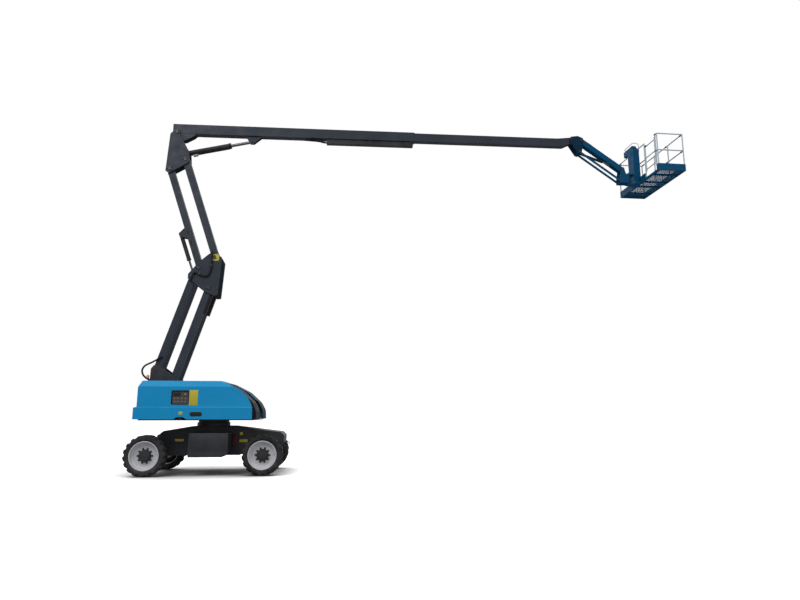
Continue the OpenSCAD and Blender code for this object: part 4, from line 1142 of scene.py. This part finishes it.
for k, y in enumerate(TRAY_HOSES):
    drop = -0.115 + 0.012 * (k % 2)
    line = (
        (TRAY_BACK - 0.5 - 0.05 * k, BOOM_LOW - 0.02), (TRAY_BACK - 0.25, BOOM_LOW - 0.045),
        (TRAY_BACK - 0.05, drop), (TRAY_BACK + 0.3, drop), (TRAY_FRONT - 0.02, drop),
    )
    points = [on_boom(along, up, y) for along, up in line]
    hose(f"tray_hose_{k}", points, TRAY_HOSE_R, "main_boom", hose_rubber, (0,))


# Lift cylinder: a black painted barrel with a gland ring at its mouth.
# A valve is fixed under its foot and feeds the mouth through a pipe along the barrel.
LIFT_BASE = Vector((-1.179, 0, 8.981))
LIFT_SLOPE = math.radians(14.02)
LIFT_RUN = Vector((math.cos(LIFT_SLOPE), 0, math.sin(LIFT_SLOPE)))
LIFT_DOWN = Vector((math.sin(LIFT_SLOPE), 0, -math.cos(LIFT_SLOPE)))
LIFT_R = 0.0775
LIFT_MOUTH = 1.28
GLAND_LONG = 0.05
GLAND_BACK = 0.065
GLAND_IN = LIFT_R - 0.004
GLAND_SEAT = LIFT_R + 0.0005
GLAND_OUT = LIFT_R + 0.007
GLAND = (
    (GLAND_IN, 0), (GLAND_SEAT, 0), (GLAND_OUT, 0.004), (GLAND_OUT, GLAND_LONG - 0.004),
    (GLAND_SEAT, GLAND_LONG), (GLAND_IN, GLAND_LONG), (GLAND_IN, 0),
)
VALVE_START = 0.16
VALVE_LONG = 0.13
VALVE_HIGH = 0.05
VALVE_HALF = 0.035
PIPE_R = 0.009
PIPE_LIFT = LIFT_R + 0.014
PIPE_UP = VALVE_HIGH * 0.55
cylinder_black = plain("cylinder_black", linear(9, 10, 13), rough=0.42, shine=0.12, grain=60)


def on_lift(along, down):
    """Place measured along the lift cylinder from its foot and down from its axis."""
    return LIFT_BASE + LIFT_RUN * along + LIFT_DOWN * down


gland = spun(GLAND, on_lift(LIFT_MOUTH - GLAND_BACK, 0), LIFT_RUN, 40)
piece("lift_cylinder_gland", gland, cylinder_black, "boom_barrel", 0.001, crease=30)
valve = bmesh.new()
valve_seat = LIFT_R - 0.006
valve_end = VALVE_START + VALVE_LONG
valve_corners = [on_lift(along, valve_seat) for along in (VALVE_START, valve_end)]
valve_corners += [on_lift(along, valve_seat + VALVE_HIGH) for along in (valve_end, VALVE_START)]
prism(valve, [(c.x, c.z) for c in valve_corners], -VALVE_HALF, VALVE_HALF)
piece("lift_cylinder_valve", valve, bolt_steel, "boom_barrel", 0.004)
pipe = [on_lift(valve_end - 0.01, valve_seat + PIPE_UP), on_lift(valve_end + 0.06, valve_seat + PIPE_UP)]
pipe += [on_lift(0.45, PIPE_LIFT), on_lift(LIFT_MOUTH - 0.12, PIPE_LIFT)]
pipe += [on_lift(LIFT_MOUTH - 0.07, LIFT_R + 0.004)]
hose("lift_cylinder_pipe", pipe, PIPE_R, "boom_barrel", cylinder_black, (2, 3))


# Jib: a blue parallelogram with a cylinder between its bars, from the bracket at the fly's nose.
# Pins have plain round ends; two hoses follow the jib arm down to the rotator.
platform_paint = painted("platform_paint", linear(0, 60, 92), rough=0.58, shine=0.04, dust=0.0, fade=0.01)
# Painted shade: the jib bracket takes a darker copy of the platform paint, for the shade it stands in.
bracket_painted_shade = painted("bracket_painted_shade", linear(3, 34, 54), rough=0.58, shine=0.04, dust=0.0, fade=0.01)
finish(["jib_bracket"], bracket_painted_shade, 0.005)
finish(["jib_arm", "jib_link", "platform_support"], platform_paint, 0.005)
finish(["jib_barrel"], cylinder_paint, 0.002)
finish(["jib_rod"], rod_chrome, 0.002)

JIB_ARM_BASE = Vector((10.753, 0, 9.966))
JIB_ARM_END = Vector((12.055, 0, 9.054))
JIB_LINK_BASE = Vector((10.693, 0, 9.576))
JIB_LINK_END = Vector((11.995, 0, 8.664))
JIB_FACE = 0.136
JIB_PIN_R = 0.032
JIB_PIN_END = ((0, 0), (JIB_PIN_R, 0), (JIB_PIN_R, 0.006), (JIB_PIN_R - 0.003, 0.009), (0, 0.009))
JIB_BOLT_OUT = 0.011


def pin_caps(body, spots):
    """Round pin ends with a central bolt on both outer faces of a plate pair."""
    caps = bmesh.new()
    heads = []
    for place in spots:
        for side, _ in SIDES:
            lathe(caps, JIB_PIN_END, (place.x, side * JIB_FACE, place.z), (0, side, 0), 28)
            heads.append(((place.x, side * (JIB_FACE + JIB_BOLT_OUT), place.z), (0, side, 0)))
    piece(f"{body}_pin_caps", caps, pin_steel, body, crease=30)
    bolts(f"{body}_pin_bolts", heads, 0.018, bolt_steel, body)


pin_caps("jib_bracket", [JIB_ARM_BASE, JIB_LINK_BASE])
pin_caps("platform_support", [JIB_ARM_END, JIB_LINK_END])

JIB_HOSES = (-0.083, -0.061)
JIB_HOSE_R = 0.011
JIB_HOSE_LIFT = 0.074
JIB_HOSE_LINE = ((0.12, 0.0), (0.2, 1.0), (0.5, 1.0), (0.8, 1.0), (1.1, 1.0), (1.36, 1.0), (1.45, 0.2))
jib_run = (JIB_ARM_END - JIB_ARM_BASE).normalized()
jib_up = Vector((-jib_run.z, 0, jib_run.x))
for k, y in enumerate(JIB_HOSES):
    points = []
    for along, lift in JIB_HOSE_LINE:
        place = JIB_ARM_BASE + jib_run * along + jib_up * (JIB_HOSE_LIFT * lift)
        points.append((place.x, y, place.z))
    hose(f"jib_hose_{k}", points, JIB_HOSE_R, "jib_arm", hose_rubber, (2, 4))


# Platform: a grating floor in a frame of bars, hung on a mast that turns on the support's rotator.
# The rails are round tube with dark clamps, and their posts stand on small welded feet.
# The gate in the rails has a latch at its free end.
finish(["platform_floor", "toe_boards"], platform_paint, 0.002)
finish(["console"], platform_paint, 0.012, 3)
rail_paint = painted("rail_paint", linear(150, 160, 168), rough=0.4, shine=0.25, dust=0.0)
finish(["guard_rails", "gate"], rail_paint)

PLATFORM_X0 = 12.61
PLATFORM_X1 = 13.46
PLATFORM_Y = 1.22
FLOOR_Z = 8.6735
GRATING_RODS = 22
GRATING_SIDE = 0.1
GRATING_END = 0.045
GRATING_DROP = 0.007
GRATING_R = 0.0045
grating_step = (2 * PLATFORM_Y - 2 * GRATING_SIDE) / (GRATING_RODS - 1)
rods = bmesh.new()
for i in range(GRATING_RODS):
    y = -PLATFORM_Y + GRATING_SIDE + i * grating_step
    z = FLOOR_Z - GRATING_DROP
    tube(rods, [(PLATFORM_X0 + GRATING_END, y, z), (PLATFORM_X1 - GRATING_END, y, z)], GRATING_R, 6)
piece("grating_rods", rods, platform_paint, "platform")

RAIL_X0 = 12.6332
RAIL_X1 = 13.4372
RAIL_Y = 1.197
RAIL_LEVELS = (0.5824, 1.101)
RAIL_R = 0.019
RAIL_POSTS = ((RAIL_X1, (-1, -1 / 3, 1 / 3, 1)), (RAIL_X0, (-1, 1)))
CLAMP_FROM = 0.05
CLAMP_TO = 0.12
CLAMP_R = RAIL_R + 0.006
FOOT_HALF = 0.03
FOOT_INNER = 0.018
FOOT_T = 0.008
clamp_black = plain("clamp_black", linear(20, 34, 46), rough=0.5, grain=80)
clamps = bmesh.new()
feet = bmesh.new()
for x, stations in RAIL_POSTS:
    for share in stations:
        y = share * RAIL_Y
        turn = -1 if share > 0 else 1
        for level in RAIL_LEVELS:
            z = FLOOR_Z + level
            tube(clamps, [(x, y + turn * CLAMP_FROM, z), (x, y + turn * CLAMP_TO, z)], CLAMP_R, 16)
        foot_out = FOOT_HALF if abs(share) < 1 else FOOT_INNER
        foot_low = (x - FOOT_HALF, y - foot_out, FLOOR_Z)
        foot_high = (x + FOOT_HALF, y + FOOT_INNER, FLOOR_Z + FOOT_T)
        brick(feet, foot_low, foot_high)
piece("rail_clamps", clamps, clamp_black, "platform", crease=40)
piece("rail_feet", feet, platform_paint, "platform", 0.001)


# Console: a blue control box on the platform, with two levers and three toggles on its desk.
# A bent tube guards it from above.
LEVER = (
    (0, 0), (0.028, 0), (0.026, 0.012), (0.009, 0.02),
    (0.007, 0.06), (0.016, 0.07), (0.018, 0.095), (0, 0.102),
)
TOGGLE = ((0, 0), (0.012, 0), (0.01, 0.01), (0.004, 0.012), (0.003, 0.024), (0, 0.025))
LEVER_STATIONS = (0.12, 0.3)
LEVER_FOOT = (0.14, 0.15)
TOGGLE_STATIONS = (0.42, 0.46, 0.5)
TOGGLE_FOOT = (0.16, 0.127)
DESK_NORMAL = (0.5, 0, 0.86)
console_low, console_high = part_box("console")
desk_x0 = console_low[0] - SLEW_X
desk_x1 = console_high[0] - SLEW_X
desk_y0 = console_low[1]
desk_y1 = console_high[1]
desk_z0 = console_low[2]
desk_z1 = console_high[2]
levers = bmesh.new()
for along in LEVER_STATIONS:
    foot = (desk_x0 + LEVER_FOOT[0], desk_y0 + along, desk_z0 + LEVER_FOOT[1])
    lathe(levers, LEVER, foot, DESK_NORMAL, 18)
for along in TOGGLE_STATIONS:
    foot = (desk_x0 + TOGGLE_FOOT[0], desk_y0 + along, desk_z0 + TOGGLE_FOOT[1])
    lathe(levers, TOGGLE, foot, DESK_NORMAL, 14)
piece("console_levers", levers, dial_black, "platform", crease=40)

GUARD_LIFT = 0.09
GUARD_R = 0.011
GUARD_ROUND = 0.09
guard_back = desk_x1 - 0.02
guard_front = desk_x0 + 0.03
guard_near = desk_y0 - 0.03
guard_far = desk_y1 + 0.03
guard_foot = desk_z0 - 0.02
guard_top = desk_z1 + GUARD_LIFT
guard_bend = guard_top - 0.02
guard_path = [
    (guard_back, guard_near, guard_foot), (guard_back, guard_near, guard_bend),
    (guard_front, guard_near, guard_top), (guard_front, guard_far, guard_top),
    (guard_back, guard_far, guard_bend), (guard_back, guard_far, guard_foot),
]
guard = bmesh.new()
tube(guard, rounded_path(guard_path, GUARD_ROUND), GUARD_R, 12)
piece("console_guard", guard, rail_paint, "platform", crease=50)

GATE_FREE_Y = -0.51
LATCH_LOW = (RAIL_X0 - 0.024, GATE_FREE_Y - 0.075, FLOOR_Z + 0.96)
LATCH_HIGH = (RAIL_X0 + 0.024, GATE_FREE_Y + 0.012, FLOOR_Z + 1.005)
latch = bmesh.new()
brick(latch, LATCH_LOW, LATCH_HIGH)
piece("gate_latch", latch, clamp_black, "gate", 0.004)
